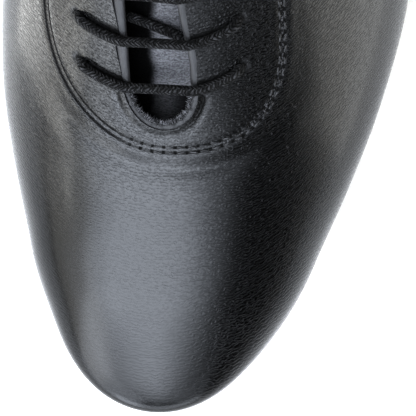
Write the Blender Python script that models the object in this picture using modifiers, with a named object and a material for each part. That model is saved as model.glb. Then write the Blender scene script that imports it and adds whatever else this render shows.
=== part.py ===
"""Left shoe of a men's lace-up Latin dance pair, built as a maker assembles it.

Sizes are in millimetres on the last: x from its centre line towards the lateral side, y from the toe tip
back to the heel, z up from the floor. The finished shoe stands on z = 0 with its toe towards -Y and its
medial side towards -X, centred on the origin.
"""

import math
from typing import NamedTuple

import bmesh
import bpy
from mathutils import Vector

MM = 0.001
MEDIAL, LATERAL = -1, 1
NAME = "latin_dance_shoe"

# Driving sizes of the last. The section table below is drawn for the table sizes and follows these.
LENGTH, TABLE_LENGTH = 284.0, 284.0
BALL_WIDTH, TABLE_BALL_WIDTH = 102.0, 102.0
INSTEP_HEIGHT, TABLE_INSTEP_HEIGHT = 92.0, 92.0
HEEL_HEIGHT = 38.0
TOE_SPRING = 8.0

# How far from each end the last rounds off.
TOE_REACH = 40.0
NOSE_REACH = 30.0
HEEL_REACH = 36.0
TOE_TUCK = 2.2
BACK_TUCK = 3.0
BACK_LEAN = 6.5
BACK_LEAN_REACH = 70.0
BACK_LEAN_RISE = 38.0
BACK_LEAN_POWER = 1.5

# Bottom of the shoe.
GAP = 0.3
SOLE_THICKNESS = 3.7
SOLE_WELT = 1.2
TREAD_FRONT = 69.0
TREAD_BACK = 109.0
HEEL_LENGTH = 60.0
SEAT_DROP = 4.0
INSOLE_THICKNESS = 2.5
INSOLE_INSET = 2.5

# Heel block and its top piece.
TIP_THICKNESS = 6.0
HEEL_INSET = 0.5
HEEL_TAPER = 0.12
HEEL_BACK_LEAN = 8.0
HEEL_BREAST_LEAN = 3.0
HEEL_LEVELS = 5

# Upper.
WALL = 1.8
THROAT_FRONT = 68.0
THROAT_ROUND = 8.0
THROAT_HALF = 7.8
THROAT_FLARE = 1.2
THROAT_LEAN = {MEDIAL: 0.0, LATERAL: 2.8}
THROAT_LEAN_FROM = 80.0
THROAT_LEAN_TO = 97.0
COLLAR_FRONT = 133.0
COLLAR_DIP_AT = 205.0
COLLAR_DIP = {MEDIAL: 84.0, LATERAL: 81.0}
COLLAR_BACK = 100.0
CORNER_ROUND = 0.05
CORNER_BEFORE = 3.0
CORNER_AFTER = 5.0

# How finely the upper and the bottom are divided.
TOE_ROWS = 9
VAMP_ROWS = 4
THROAT_ROWS = 5
FACING_ROWS = 7
CORNER_ROWS = 5
QUARTER_ROWS = 11
HEEL_ROWS = 8
TREAD_ROWS = 4
WAIST_ROWS = 15
SEAT_ROWS = 2
LOW_COLUMNS = 4
TOP_COLUMNS = 12

# Tongue, under the facings.
TONGUE_FRONT = 54.0
TONGUE_BACK = 147.0
TONGUE_HALF = 21.0
TONGUE_FLARE = 4.0
TONGUE_THICKNESS = 1.8
TONGUE_SEAT = 0.4
TONGUE_DROP = 4.0
TONGUE_DROP_FROM = 58.0
TONGUE_DROP_TO = 80.0
TONGUE_CORNER = 12.0
TONGUE_END_SHARE = 0.6
TONGUE_ROWS = 15
TONGUE_END_ROWS = 5
TONGUE_COLUMNS = 12

# Lacing.
EYELET_ROWS = 5
EYELET_FIRST = 83.2
EYELET_PITCH = 10.4
EYELET_OUT = 20.6
EYELET_RADIUS = 1.7
EYELET_SIDES = 14
EYELET_CUT = 10.0
LACE_RADIUS = 1.3
LACE_BOW = 7.8
LACE_BOW_POWER = 2.3
LACE_ARCH = 0.5
LACE_POINTS = 21
LACE_LIFT = 0.6
LACE_ROUNDING = 2
RUN_RADIUS = 1.25
RUN_DEPTH = 4.0
RUN_STATION = 88.5
RUN_SLANT = 0.28
RUN_HALVES = (13.0, 11.0, 9.0, 7.0, 5.0, 3.0)


class Section(NamedTuple):
    """One cross-section of the last. Half-widths count from the centre line, before the ends round off."""

    from_toe: float
    medial: float
    lateral: float
    tuck_medial: float
    tuck_lateral: float
    rise: float
    ridge_x: float
    ridge_z: float
    peak: float


SECTIONS = (
    Section(0.0, 30.7, 29.5, 2.2, 2.2, 8.0, 0.0, 28.0, 2.0),
    Section(12.0, 30.1, 30.1, 2.4, 2.4, 8.5, 0.0, 30.0, 2.0),
    Section(24.0, 30.6, 32.4, 2.6, 2.6, 9.0, 0.0, 32.6, 2.05),
    Section(40.0, 34.5, 36.8, 3.0, 3.0, 9.5, 0.2, 36.5, 2.05),
    Section(60.0, 40.2, 44.0, 3.2, 3.2, 10.5, 0.4, 42.0, 1.9),
    Section(80.0, 44.7, 50.3, 3.6, 3.4, 12.0, -1.4, 51.0, 1.7),
    Section(104.0, 46.5, 55.5, 4.5, 3.8, 14.5, -3.0, 65.5, 1.65),
    Section(118.0, 45.6, 56.0, 6.0, 4.4, 16.5, -3.0, 77.0, 1.7),
    Section(134.0, 41.8, 53.0, 8.5, 5.2, 19.0, -2.0, 91.0, 1.8),
    Section(159.0, 36.0, 47.0, 9.5, 6.0, 22.0, 0.0, 110.0, 2.1),
    Section(184.0, 33.5, 41.0, 8.0, 6.0, 24.0, 0.0, 120.0, 2.3),
    Section(209.0, 33.0, 36.5, 6.0, 5.2, 24.0, 0.0, 124.0, 2.4),
    Section(234.0, 33.6, 34.6, 4.5, 4.5, 22.0, 0.0, 125.0, 2.4),
    Section(260.0, 32.5, 32.5, 4.0, 4.0, 20.0, 0.0, 125.0, 2.4),
    Section(284.0, 31.0, 31.0, 4.0, 4.0, 20.0, 0.0, 125.0, 2.4),
)

UPPER_LEATHER = ((0.03, 0.03, 0.034), 0.42)
TONGUE_LEATHER = ((0.045, 0.045, 0.05), 0.5)
SOCK = ((0.05, 0.047, 0.045), 0.7)
SUEDE = ((0.3, 0.27, 0.24), 0.95)
HEEL_LACQUER = ((0.02, 0.02, 0.02), 0.35)
RUBBER = ((0.04, 0.04, 0.04), 0.8)
CORD = ((0.05, 0.05, 0.055), 0.8)


def smooth_step(start, stop, value):
    """Eases from 0 at start to 1 at stop."""
    share = min(max((value - start) / (stop - start), 0.0), 1.0)
    return share * share * (3.0 - 2.0 * share)


def end_round(distance, reach):
    """Quarter-circle rise from 0 at an end to 1 at its reach."""
    left = 1.0 - min(max(distance / reach, 0.0), 1.0)
    return math.sqrt(1.0 - left * left)


def smooth_min(first, second, width):
    """The smaller of two values, with the change-over rounded."""
    overlap = max(width - abs(first - second), 0.0)
    return min(first, second) - overlap * overlap / (4.0 * width)


def slope_at(column, index):
    """Slope of a table column at one of its rows, from the rows on each side."""
    before = SECTIONS[max(index - 1, 0)]
    after = SECTIONS[min(index + 1, len(SECTIONS) - 1)]
    return (getattr(after, column) - getattr(before, column)) / (after.from_toe - before.from_toe)


def column_at(column, station):
    """A table column at any station between its rows, as a smooth curve."""
    index = len(SECTIONS) - 2
    while index > 0 and SECTIONS[index].from_toe > station:
        index -= 1
    near, far = SECTIONS[index], SECTIONS[index + 1]
    span = far.from_toe - near.from_toe
    share = (station - near.from_toe) / span
    ease = share * share * (3.0 - 2.0 * share)
    value = getattr(near, column) * (1.0 - ease) + getattr(far, column) * ease
    value += slope_at(column, index) * span * share * (1.0 - share) ** 2
    return value - slope_at(column, index + 1) * span * share**2 * (1.0 - share)


def section_at(from_toe):
    """The last's section at any station, scaled to the driving sizes."""
    station = min(max(from_toe * TABLE_LENGTH / LENGTH, 0.0), TABLE_LENGTH)
    wide = BALL_WIDTH / TABLE_BALL_WIDTH
    high = INSTEP_HEIGHT / TABLE_INSTEP_HEIGHT
    factor = {"rise": high, "ridge_z": high, "peak": 1.0}
    columns = [column_at(name, station) * factor.get(name, wide) for name in Section._fields[1:]]
    return Section(from_toe, *columns)


def sole_bottom(y):
    """Height of the sole's underside: toe spring, flat tread, the waist's rise and the heel seat."""
    breast = LENGTH - HEEL_LENGTH
    breast_height = HEEL_HEIGHT - SEAT_DROP
    seat_slope = SEAT_DROP / HEEL_LENGTH
    if y < TREAD_FRONT:
        return TOE_SPRING * ((TREAD_FRONT - y) / TREAD_FRONT) ** 2
    if y < TREAD_BACK:
        return 0.0
    if y < breast:
        span = breast - TREAD_BACK
        share = (y - TREAD_BACK) / span
        ease = share * share * (3.0 - 2.0 * share)
        return breast_height * ease - seat_slope * span * share * share * (1.0 - share)
    return breast_height + seat_slope * (y - breast)


def feather_height(y):
    """Height of the upper's lower edge, just clear of the sole."""
    return sole_bottom(y) + SOLE_THICKNESS + GAP


class Slice:
    """One half of the last at a station: its widest line, feather line and ridge."""

    def __init__(self, from_toe, side):
        row = section_at(from_toe)
        ends = end_round(from_toe, TOE_REACH) * end_round(LENGTH - from_toe, HEEL_REACH)
        widest = row.medial if side == MEDIAL else row.lateral
        tuck = row.tuck_medial if side == MEDIAL else row.tuck_lateral
        self.from_toe = from_toe
        self.side = side
        self.widest = widest * ends
        self.feather = (widest - tuck) * ends
        self.ridge = side * row.ridge_x * ends
        self.rise = row.rise
        self.low = feather_height(from_toe)
        self.high = self.low + row.rise
        self.top = self.high + (row.ridge_z - self.high) * end_round(from_toe, NOSE_REACH)
        self.peak = row.peak

    def y_at(self, z):
        """Station of a point, drawn in where the toe and the heel's back tuck under or lean."""
        height = z - self.low
        under = max(1.0 - height / self.rise, 0.0) ** 2
        toe = max(1.0 - self.from_toe / TOE_REACH, 0.0) ** 2
        back = max(1.0 - (LENGTH - self.from_toe) / BACK_LEAN_REACH, 0.0) ** 2
        lean = BACK_LEAN * (max(height - self.rise, 0.0) / BACK_LEAN_RISE) ** BACK_LEAN_POWER
        return self.from_toe + TOE_TUCK * under * toe - (BACK_TUCK * under + lean) * back

    def point(self, up):
        """Point of the section: up is -1 at the feather line, 0 at the widest line and 1 at the ridge."""
        if up < 0.0:
            share = 1.0 + up
            out = self.feather + (self.widest - self.feather) * (1.0 - (1.0 - share) ** 2)
            z = self.low + self.rise * share
        else:
            turn = math.radians(90.0) * min(up, 1.0)
            power = 2.0 / self.peak
            out = self.ridge + (self.widest - self.ridge) * max(math.cos(turn), 0.0) ** power
            z = self.high + (self.top - self.high) * math.sin(turn) ** power
        return Vector((self.side * out, self.y_at(z), z))

    def up_at_width(self, from_ridge):
        """Where the section lies this far from the ridge, seen from above."""
        share = min(max(from_ridge / (self.widest - self.ridge), 0.0), 1.0)
        return math.acos(share ** (self.peak / 2.0)) / math.radians(90.0)

    def up_at_height(self, z):
        """Where the section reaches this height."""
        share = min(max((z - self.high) / (self.top - self.high), 0.0), 1.0)
        return math.asin(share ** (self.peak / 2.0)) / math.radians(90.0)


def surface_point(from_toe, side, up):
    """Point on the outside of the last."""
    return Slice(from_toe, side).point(up)


def surface_normal(from_toe, side, up):
    """Outward direction of the last's surface."""
    step_along, step_up = 0.5, 0.01
    near = max(from_toe - step_along, 0.0)
    far = min(from_toe + step_along, LENGTH)
    lower = max(up - step_up, -1.0)
    upper = min(up + step_up, 1.0)
    along = surface_point(far, side, up) - surface_point(near, side, up)
    upward = surface_point(from_toe, side, upper) - surface_point(from_toe, side, lower)
    return (side * along.cross(upward)).normalized()


def throat_half(from_toe, side):
    """Width of the opening from the ridge to the facing's edge on one side."""
    if from_toe <= THROAT_FRONT:
        return 0.0
    flare = THROAT_FLARE * smooth_step(THROAT_FRONT, COLLAR_FRONT, from_toe)
    lean = THROAT_LEAN[side] * smooth_step(THROAT_LEAN_FROM, THROAT_LEAN_TO, from_toe)
    return (THROAT_HALF + flare - lean) * end_round(from_toe - THROAT_FRONT, THROAT_ROUND)


def collar_height(from_toe, side):
    """Height of the collar line, from the facing's top corner under the ankle to the heel's back."""
    dip = COLLAR_DIP[side]
    corner = Slice(COLLAR_FRONT, side)
    front = corner.point(corner.up_at_width(throat_half(COLLAR_FRONT, side))).z
    if from_toe < COLLAR_DIP_AT:
        share = (COLLAR_DIP_AT - from_toe) / (COLLAR_DIP_AT - COLLAR_FRONT)
        return dip + (front - dip) * share**2
    share = (from_toe - COLLAR_DIP_AT) / (LENGTH - COLLAR_DIP_AT)
    return dip + (COLLAR_BACK - dip) * share**2 * (2.0 - share)


def edge_up(from_toe, side):
    """Where the upper's wall ends on a section: at the ridge, the throat or the collar."""
    half = Slice(from_toe, side)
    if from_toe <= THROAT_FRONT:
        return 1.0
    if from_toe > COLLAR_DIP_AT:
        return half.up_at_height(collar_height(from_toe, side))
    throat = half.up_at_width(throat_half(from_toe, side))
    if from_toe < COLLAR_FRONT - THROAT_ROUND:
        return throat
    return smooth_min(throat, half.up_at_height(collar_height(from_toe, side)), CORNER_ROUND)


def evenly(start, stop, count):
    """Stations after start, evenly up to stop."""
    return [start + (stop - start) * (step + 1) / count for step in range(count)]


def rounding(start, stop, count):
    """Stations from start up to stop, close together at start as a round end needs."""
    turns = [math.pi * step / (2 * count) for step in range(count + 1)]
    return [start + (stop - start) * (1.0 - math.cos(turn)) for turn in turns]


def heel_stations():
    """Stations from the heel's breast to its back."""
    back = rounding(LENGTH, LENGTH - HEEL_REACH, HEEL_ROWS)
    breast = LENGTH - HEEL_LENGTH
    return [breast] + evenly(breast, LENGTH - HEEL_REACH, SEAT_ROWS) + back[-2::-1]


def upper_stations():
    """Stations of the upper's rows, close together where its outline turns."""
    corner_start = COLLAR_FRONT - CORNER_BEFORE
    corner_stop = COLLAR_FRONT + CORNER_AFTER
    rows = rounding(0.0, TOE_REACH, TOE_ROWS)
    rows += evenly(TOE_REACH, THROAT_FRONT, VAMP_ROWS)
    rows += rounding(THROAT_FRONT, THROAT_FRONT + THROAT_ROUND, THROAT_ROWS)[1:]
    rows += evenly(THROAT_FRONT + THROAT_ROUND, corner_start, FACING_ROWS)
    rows += evenly(corner_start, corner_stop, CORNER_ROWS)
    rows += evenly(corner_stop, LENGTH - HEEL_REACH, QUARTER_ROWS)
    return rows + rounding(LENGTH, LENGTH - HEEL_REACH, HEEL_ROWS)[-2::-1]


def bottom_stations():
    """Stations of the sole's rows, with the flat tread's two ends among them."""
    rows = rounding(0.0, TOE_REACH, TOE_ROWS)
    rows += evenly(TOE_REACH, TREAD_FRONT, VAMP_ROWS)
    rows += evenly(TREAD_FRONT, TREAD_BACK, TREAD_ROWS)
    return rows + evenly(TREAD_BACK, LENGTH - HEEL_LENGTH, WAIST_ROWS) + heel_stations()[1:]


def at_tip(place):
    """Whether an outline's two sides meet here, at the toe tip or the heel's back."""
    return abs(place.x) < GAP


def outline(stations, offset):
    """Feather line seen from above, moved outwards: a medial and a lateral point for each station."""
    lines = {side: [surface_point(y, side, -1.0).to_2d() for y in stations] for side in (MEDIAL, LATERAL)}
    moved = {}
    for side, line in lines.items():
        other = lines[-side]
        before = [other[1] if at_tip(line[0]) else line[0]] + line[:-1]
        after = line[1:] + [other[-2] if at_tip(line[-1]) else line[-1]]
        along = [(last - first).normalized() for first, last in zip(before, after)]
        outward = [Vector((side * way.y, -side * way.x)) for way in along]
        moved[side] = [here + way * offset for here, way in zip(line, outward)]
    return list(zip(moved[MEDIAL], moved[LATERAL]))


def collection_named(name):
    """A new collection in the scene."""
    made = bpy.data.collections.new(name)
    bpy.context.scene.collection.children.link(made)
    return made


def material_for(name, finish):
    """A plain finish: colour and roughness."""
    colour, roughness = finish
    material = bpy.data.materials.new(name)
    material.use_nodes = True
    shader = material.node_tree.nodes["Principled BSDF"]
    shader.inputs["Base Color"].default_value = (*colour, 1.0)
    shader.inputs["Roughness"].default_value = roughness
    shader.inputs["Metallic"].default_value = 0.0
    return material


def object_from(name, builder, collection, finish):
    """Turns a mesh under construction into a named object, closed up and facing outwards."""
    bmesh.ops.remove_doubles(builder, verts=builder.verts, dist=GAP * MM * 0.1)
    bmesh.ops.dissolve_degenerate(builder, edges=builder.edges, dist=GAP * MM * 0.01)
    bmesh.ops.recalc_face_normals(builder, faces=builder.faces)
    mesh = bpy.data.meshes.new(name)
    builder.to_mesh(mesh)
    builder.free()
    made = bpy.data.objects.new(name, mesh)
    collection.objects.link(made)
    if finish is not None:
        mesh.materials.append(material_for(name, finish))
    return made


def bridge(builder, first, second, closed):
    """Faces between two rows of vertices."""
    count = len(first)
    for index in range(count if closed else count - 1):
        after = (index + 1) % count
        builder.faces.new((first[index], first[after], second[after], second[index]))


def vertices(builder, points):
    """A row of vertices from points in millimetres."""
    return [builder.verts.new(point * MM) for point in points]


def loft(name, rings, collection, finish):
    """A closed body through rings of points, with a face across each end."""
    builder = bmesh.new()
    rows = [vertices(builder, ring) for ring in rings]
    for first, second in zip(rows, rows[1:]):
        bridge(builder, first, second, True)
    for row in (rows[0], rows[-1]):
        builder.faces.new(row)
    return object_from(name, builder, collection, finish)


def shell(name, grids, thickness, collection, finish):
    """A wall of even thickness, inwards from the surface through rows of points."""
    builder = bmesh.new()
    for grid in grids:
        rows = [vertices(builder, points) for points in grid]
        for first, second in zip(rows, rows[1:]):
            bridge(builder, first, second, False)
    made = object_from(name, builder, collection, finish)
    if sum(face.normal.z * face.area for face in made.data.polygons) < 0.0:
        made.data.flip_normals()
    wall = made.modifiers.new("wall", "SOLIDIFY")
    wall.thickness = thickness * MM
    wall.offset = -1.0
    wall.use_even_offset = True
    wall.use_rim = True
    return made


def eyelet_station(row):
    """Station of a row of eyelets, the first at the throat."""
    return EYELET_FIRST + EYELET_PITCH * (row - 1)


def add_rod(builder, centre, axis, radius, length, sides):
    """A closed rod about a centre."""
    across = axis.orthogonal().normalized()
    other = axis.cross(across)
    rings = []
    for end in (-0.5, 0.5):
        middle = centre + axis * length * end
        turns = [2.0 * math.pi * step / sides for step in range(sides)]
        ring = [middle + (across * math.cos(turn) + other * math.sin(turn)) * radius for turn in turns]
        rings.append(vertices(builder, ring))
    bridge(builder, rings[0], rings[1], True)
    for ring in rings:
        builder.faces.new(ring)


def build_upper(parts, cutters):
    """The hollow upper, from its feather line to the throat and the collar, with its eyelet holes."""
    grids = []
    for side in (MEDIAL, LATERAL):
        grid = []
        for station in upper_stations():
            half = Slice(station, side)
            top = edge_up(station, side)
            ups = [-1.0 + step / LOW_COLUMNS for step in range(LOW_COLUMNS)]
            ups += [top * step / TOP_COLUMNS for step in range(TOP_COLUMNS + 1)]
            grid.append([half.point(up) for up in ups])
        grids.append(grid)
    upper = shell("upper", grids, WALL, parts, UPPER_LEATHER)

    builder = bmesh.new()
    for row in range(1, EYELET_ROWS + 1):
        for side in (MEDIAL, LATERAL):
            station = eyelet_station(row)
            up = Slice(station, side).up_at_width(EYELET_OUT)
            centre = surface_point(station, side, up)
            axis = surface_normal(station, side, up)
            add_rod(builder, centre, axis, EYELET_RADIUS, EYELET_CUT, EYELET_SIDES)
    punch = object_from("eyelet_punch", builder, cutters, None)
    punch.hide_render = True
    punch.display_type = "WIRE"
    cut = upper.modifiers.new("eyelets", "BOOLEAN")
    cut.operation = "DIFFERENCE"
    cut.solver = "EXACT"
    cut.object = punch
    return upper


def tongue_point(from_toe, across):
    """Point on the tongue's face: across runs from -1 at its medial edge to 1 at its lateral one."""
    side = MEDIAL if across < 0.0 else LATERAL
    half = TONGUE_HALF + TONGUE_FLARE * smooth_step(TONGUE_FRONT, TONGUE_BACK, from_toe)
    top = TONGUE_END_SHARE + (1.0 - TONGUE_END_SHARE) * end_round(TONGUE_BACK - from_toe, TONGUE_CORNER)
    up = Slice(from_toe, side).up_at_width(abs(across) * half * top)
    drop = TONGUE_DROP * smooth_step(TONGUE_DROP_FROM, TONGUE_DROP_TO, from_toe)
    inwards = WALL + TONGUE_SEAT + drop
    return surface_point(from_toe, side, up) - surface_normal(from_toe, side, up) * inwards


def build_tongue(parts):
    """The tongue, from under the vamp to above the facings."""
    corner = TONGUE_BACK - TONGUE_CORNER
    stations = [TONGUE_FRONT] + evenly(TONGUE_FRONT, corner, TONGUE_ROWS)
    stations += rounding(TONGUE_BACK, corner, TONGUE_END_ROWS)[-2::-1]
    shares = [-1.0 + 2.0 * step / TONGUE_COLUMNS for step in range(TONGUE_COLUMNS + 1)]
    grid = [[tongue_point(station, share) for share in shares] for station in stations]
    return shell("tongue", [grid], TONGUE_THICKNESS, parts, TONGUE_LEATHER)


def build_slab(name, offset, height_at, thickness, parts, finish):
    """A flat piece that follows the bottom of the last."""
    rings = []
    for medial, lateral in outline(bottom_stations(), offset):
        ring = [Vector((place.x, place.y, height_at(place.y))) for place in (medial, lateral)]
        ring += [point + Vector((0.0, 0.0, thickness)) for point in reversed(ring)]
        rings.append(ring)
    return loft(name, rings, parts, finish)


def heel_place(place, share, level):
    """A point of the heel at a level from its top, 0, to its foot, 1. Share runs from breast to back."""
    curve = 1.0 - (1.0 - level) ** 2
    x = place.x * (1.0 - HEEL_TAPER * curve)
    y = place.y + HEEL_BREAST_LEAN * level * (1.0 - share) - HEEL_BACK_LEAN * curve * share
    return x, y


def build_heel(parts):
    """The heel block under the seat, and its top piece on the floor."""
    places = outline(heel_stations(), SOLE_WELT - HEEL_INSET)
    foot = TIP_THICKNESS + GAP
    block, tip = [], []
    for index, (medial, lateral) in enumerate(places):
        share = index / (len(places) - 1)
        sides = []
        for place in (medial, lateral):
            top = sole_bottom(place.y) - GAP
            line = []
            for step in range(HEEL_LEVELS + 1):
                level = step / HEEL_LEVELS
                x, y = heel_place(place, share, level)
                line.append(Vector((x, y, top + (foot - top) * level)))
            sides.append(line)
        block.append(sides[0] + sides[1][::-1])
        lower = [Vector((*heel_place(place, share, 1.0), TIP_THICKNESS)) for place in (medial, lateral)]
        tip.append(lower + [Vector((point.x, point.y, 0.0)) for point in reversed(lower)])
    loft("heel", block, parts, HEEL_LACQUER)
    loft("heel_tip", tip, parts, RUBBER)


def lace_path(row):
    """Middle line of a bar from one eyelet to the other, bowed towards the toe and clear of the facings."""
    lift = LACE_RADIUS + LACE_LIFT
    edges = {side: throat_half(eyelet_station(row) - LACE_BOW, side) for side in (MEDIAL, LATERAL)}
    points = []
    for step in range(LACE_POINTS):
        out = EYELET_OUT * (2.0 * step / (LACE_POINTS - 1) - 1.0)
        side = MEDIAL if out < 0.0 else LATERAL
        bow = 1.0 - (abs(out) / EYELET_OUT) ** LACE_BOW_POWER
        station = eyelet_station(row) - LACE_BOW * bow
        up = Slice(station, side).up_at_width(max(abs(out), edges[side]))
        rise = surface_normal(station, side, up)
        rise.x *= 1.0 - smooth_step(EYELET_OUT, edges[side], abs(out))
        points.append((out, abs(out) >= edges[side], surface_point(station, side, up) + rise.normalized() * lift))
    left = [point for out, held, point in points if held and out < 0.0][-1]
    right = [point for out, held, point in points if held and out > 0.0][0]
    path = []
    for out, held, point in points:
        if not held:
            share = (out + edges[MEDIAL]) / (edges[MEDIAL] + edges[LATERAL])
            point = left.lerp(right, share)
            point.z += LACE_ARCH * (1.0 - (2.0 * share - 1.0) ** 2)
        path.append(point)
    return path


def cord(name, path, radius, collection, finish):
    """A round cord along a path, as a mesh."""
    curve = bpy.data.curves.new(name, "CURVE")
    curve.dimensions = "3D"
    curve.bevel_depth = radius * MM
    curve.bevel_resolution = LACE_ROUNDING
    curve.use_fill_caps = True
    spline = curve.splines.new("POLY")
    spline.points.add(len(path) - 1)
    for place, point in zip(spline.points, path):
        place.co = (*(point * MM), 1.0)
    line = bpy.data.objects.new(name + "_line", curve)
    collection.objects.link(line)
    graph = bpy.context.evaluated_depsgraph_get()
    mesh = bpy.data.meshes.new_from_object(line.evaluated_get(graph))
    bpy.data.objects.remove(line)
    builder = bmesh.new()
    builder.from_mesh(mesh)
    bpy.data.meshes.remove(mesh)
    return object_from(name, builder, collection, finish)


def run_path():
    """Middle line of the lace's run inside the throat, between the facings and the tongue."""
    path = []
    for out in [-half for half in RUN_HALVES] + list(reversed(RUN_HALVES)):
        side = MEDIAL if out < 0.0 else LATERAL
        station = RUN_STATION - RUN_SLANT * out
        up = Slice(station, side).up_at_width(abs(out))
        path.append(surface_point(station, side, up) - surface_normal(station, side, up) * RUN_DEPTH)
    return path


def build_laces(parts):
    """A bar for each pair of eyelets, and the run that shows inside the throat."""
    for row in range(1, EYELET_ROWS + 1):
        cord(f"lace_bar_{row}", lace_path(row), LACE_RADIUS, parts, CORD)
    cord("lace_inner_run", run_path(), RUN_RADIUS, parts, CORD)


def centre_on_origin(parts):
    """Hangs every piece on one frame that puts the shoe's box over the origin."""
    bpy.context.view_layer.update()
    corners = [piece.matrix_world @ Vector(corner) for piece in parts.objects for corner in piece.bound_box]
    middle = [(min(c[axis] for c in corners) + max(c[axis] for c in corners)) / 2.0 for axis in range(2)]
    frame = bpy.data.objects.new("shoe_frame", None)
    frame.location = (-middle[0], -middle[1], 0.0)
    bpy.context.scene.collection.objects.link(frame)
    for piece in bpy.data.objects:
        if piece is not frame:
            piece.parent = frame


def main():
    """Builds the shoe."""
    for old in list(bpy.data.objects):
        bpy.data.objects.remove(old)
    parts = collection_named(NAME)
    cutters = collection_named("cutters")
    build_upper(parts, cutters)
    build_tongue(parts)
    build_slab("outsole", SOLE_WELT, sole_bottom, SOLE_THICKNESS, parts, SUEDE)
    build_slab("insole", -INSOLE_INSET, feather_height, INSOLE_THICKNESS, parts, SOCK)
    build_heel(parts)
    build_laces(parts)
    centre_on_origin(parts)


if __name__ == "__main__":
    main()
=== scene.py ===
"""Looks of the left shoe of a black lace-up latin dance pair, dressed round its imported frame.

Sizes are in millimetres on the last: x from its centre line towards the lateral side, y from the toe tip back
to the heel, z up from the floor. Meshes are moved to the frame's metres when a piece is made.
"""

from __future__ import annotations

import logging
import math
from dataclasses import dataclass, field
from enum import Enum
from typing import Any, NamedTuple, Sequence

import bmesh
import bpy
import numpy as np
from mathutils import Matrix, Quaternion, Vector
from mathutils.kdtree import KDTree

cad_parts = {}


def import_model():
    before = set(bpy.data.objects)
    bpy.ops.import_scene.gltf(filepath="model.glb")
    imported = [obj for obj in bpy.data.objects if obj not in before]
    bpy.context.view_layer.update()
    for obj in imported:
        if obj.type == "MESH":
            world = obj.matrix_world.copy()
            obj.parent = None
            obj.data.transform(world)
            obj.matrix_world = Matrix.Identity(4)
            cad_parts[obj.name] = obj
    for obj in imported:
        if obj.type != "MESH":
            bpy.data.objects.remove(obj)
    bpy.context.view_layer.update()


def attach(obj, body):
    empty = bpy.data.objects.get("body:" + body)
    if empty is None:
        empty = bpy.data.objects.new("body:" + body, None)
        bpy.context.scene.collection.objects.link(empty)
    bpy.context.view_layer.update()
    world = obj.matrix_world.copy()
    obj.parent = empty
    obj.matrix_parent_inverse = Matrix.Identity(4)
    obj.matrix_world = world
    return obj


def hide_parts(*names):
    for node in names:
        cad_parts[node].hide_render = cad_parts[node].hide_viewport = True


LOG = logging.getLogger("latin_dance_shoe")
MM = 0.001
BODY = "root"
MM_IN_METRE = 1000.0

# Sizes that several pieces share: the two rows of the seam, the stitches' pitch and the lace's radius.
SEAM_ROWS = (-1.3, 0.0)
STITCH_PITCH = 2.9
LACE_RADIUS = 1.27


class Side(Enum):
    """The two sides of a left shoe."""

    MEDIAL = -1
    LATERAL = 1


def side_of(out: float) -> Side:
    """The side that a place across the shoe lies on."""
    return Side.MEDIAL if out < 0.0 else Side.LATERAL


class Slot(Enum):
    """The record's material slots."""

    UPPER = "upper_leather"
    TONGUE = "tongue_leather"
    SOCK = "sock"
    SOLE = "sole_suede"
    HEEL = "heel_stack"
    TIP = "top_piece"
    LACE = "lace_cord"


def smooth_step(start: float, stop: float, value: np.ndarray | float) -> np.ndarray:
    """Eases from 0 at start to 1 at stop, which may lie before or after it."""
    share = np.clip((np.asarray(value, float) - start) / (stop - start), 0.0, 1.0)
    return share * share * (3.0 - 2.0 * share)


def end_round(distance: np.ndarray | float, reach: float, power: float = 2.0) -> np.ndarray:
    """Rises from 0 at an end to 1 at its reach, as a quarter of an oval, squarer with more power."""
    left = 1.0 - np.clip(np.asarray(distance, float) / reach, 0.0, 1.0)
    return (1.0 - left**power) ** (1.0 / power)


def bell(value: np.ndarray, width: float) -> np.ndarray:
    """A soft bump of height 1 about 0."""
    return np.exp(-((value / width) ** 2))


class Fold(NamedTuple):
    """A soft ridge, or a trough where its height is below 0: its height, how far from a line, and its width."""

    height: float
    at: float
    width: float

    def read(self, distance: np.ndarray) -> np.ndarray:
        """Its height at distances from the line."""
        return self.height * bell(distance - self.at, self.width)


def unit(vectors: np.ndarray) -> np.ndarray:
    """Vectors brought to length 1."""
    return vectors / np.maximum(np.linalg.norm(vectors, axis=-1, keepdims=True), 1e-12)


def spread(start: float, stop: float, pitch: float) -> np.ndarray:
    """Stations after start, evenly up to stop, about a pitch apart."""
    count = max(int(round(abs(stop - start) / pitch)), 1)
    return start + (stop - start) * np.arange(1, count + 1) / count


def rounding(start: float, stop: float, count: int) -> np.ndarray:
    """Stations from start to stop, close together at start as a round end needs."""
    return start + (stop - start) * (1.0 - np.cos(np.linspace(0.0, math.pi / 2.0, count + 1)))


def closing(start: float, stop: float, count: int) -> np.ndarray:
    """Stations after start up to stop, close together at stop as a round end needs."""
    return rounding(stop, start, count)[-2::-1]


def run_lengths(line: np.ndarray) -> np.ndarray:
    """Lengths run along a line to each of its points."""
    return np.concatenate([[0.0], np.cumsum(np.linalg.norm(np.diff(line[:, :3], axis=0), axis=1))])


def read_line(marks: np.ndarray, run: np.ndarray, line: np.ndarray) -> np.ndarray:
    """A line's columns, read where it has run to marks."""
    return np.stack([np.interp(marks, run, column) for column in line.T], 1)


def even_line(points: np.ndarray, pitch: float) -> np.ndarray:
    """A line divided evenly, with its new points about a pitch apart.

    Args:
        points: The line's points.
        pitch: About how far apart the new ones lie.

    Returns:
        The new points.
    """
    run = run_lengths(points)
    count = max(int(round(run[-1] / pitch)), 2)
    return read_line(np.linspace(0.0, run[-1], count + 1), run, points)


def nearest(points: np.ndarray, line: np.ndarray) -> np.ndarray:
    """The number of the line's point that is nearest to each point.

    Args:
        points: The points to look from.
        line: The line's points.

    Returns:
        A number for each point.
    """
    tree = KDTree(len(line))
    for index, place in enumerate(line):
        tree.insert(place, index)
    tree.balance()
    return np.array([tree.find(place)[1] for place in points])


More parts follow.
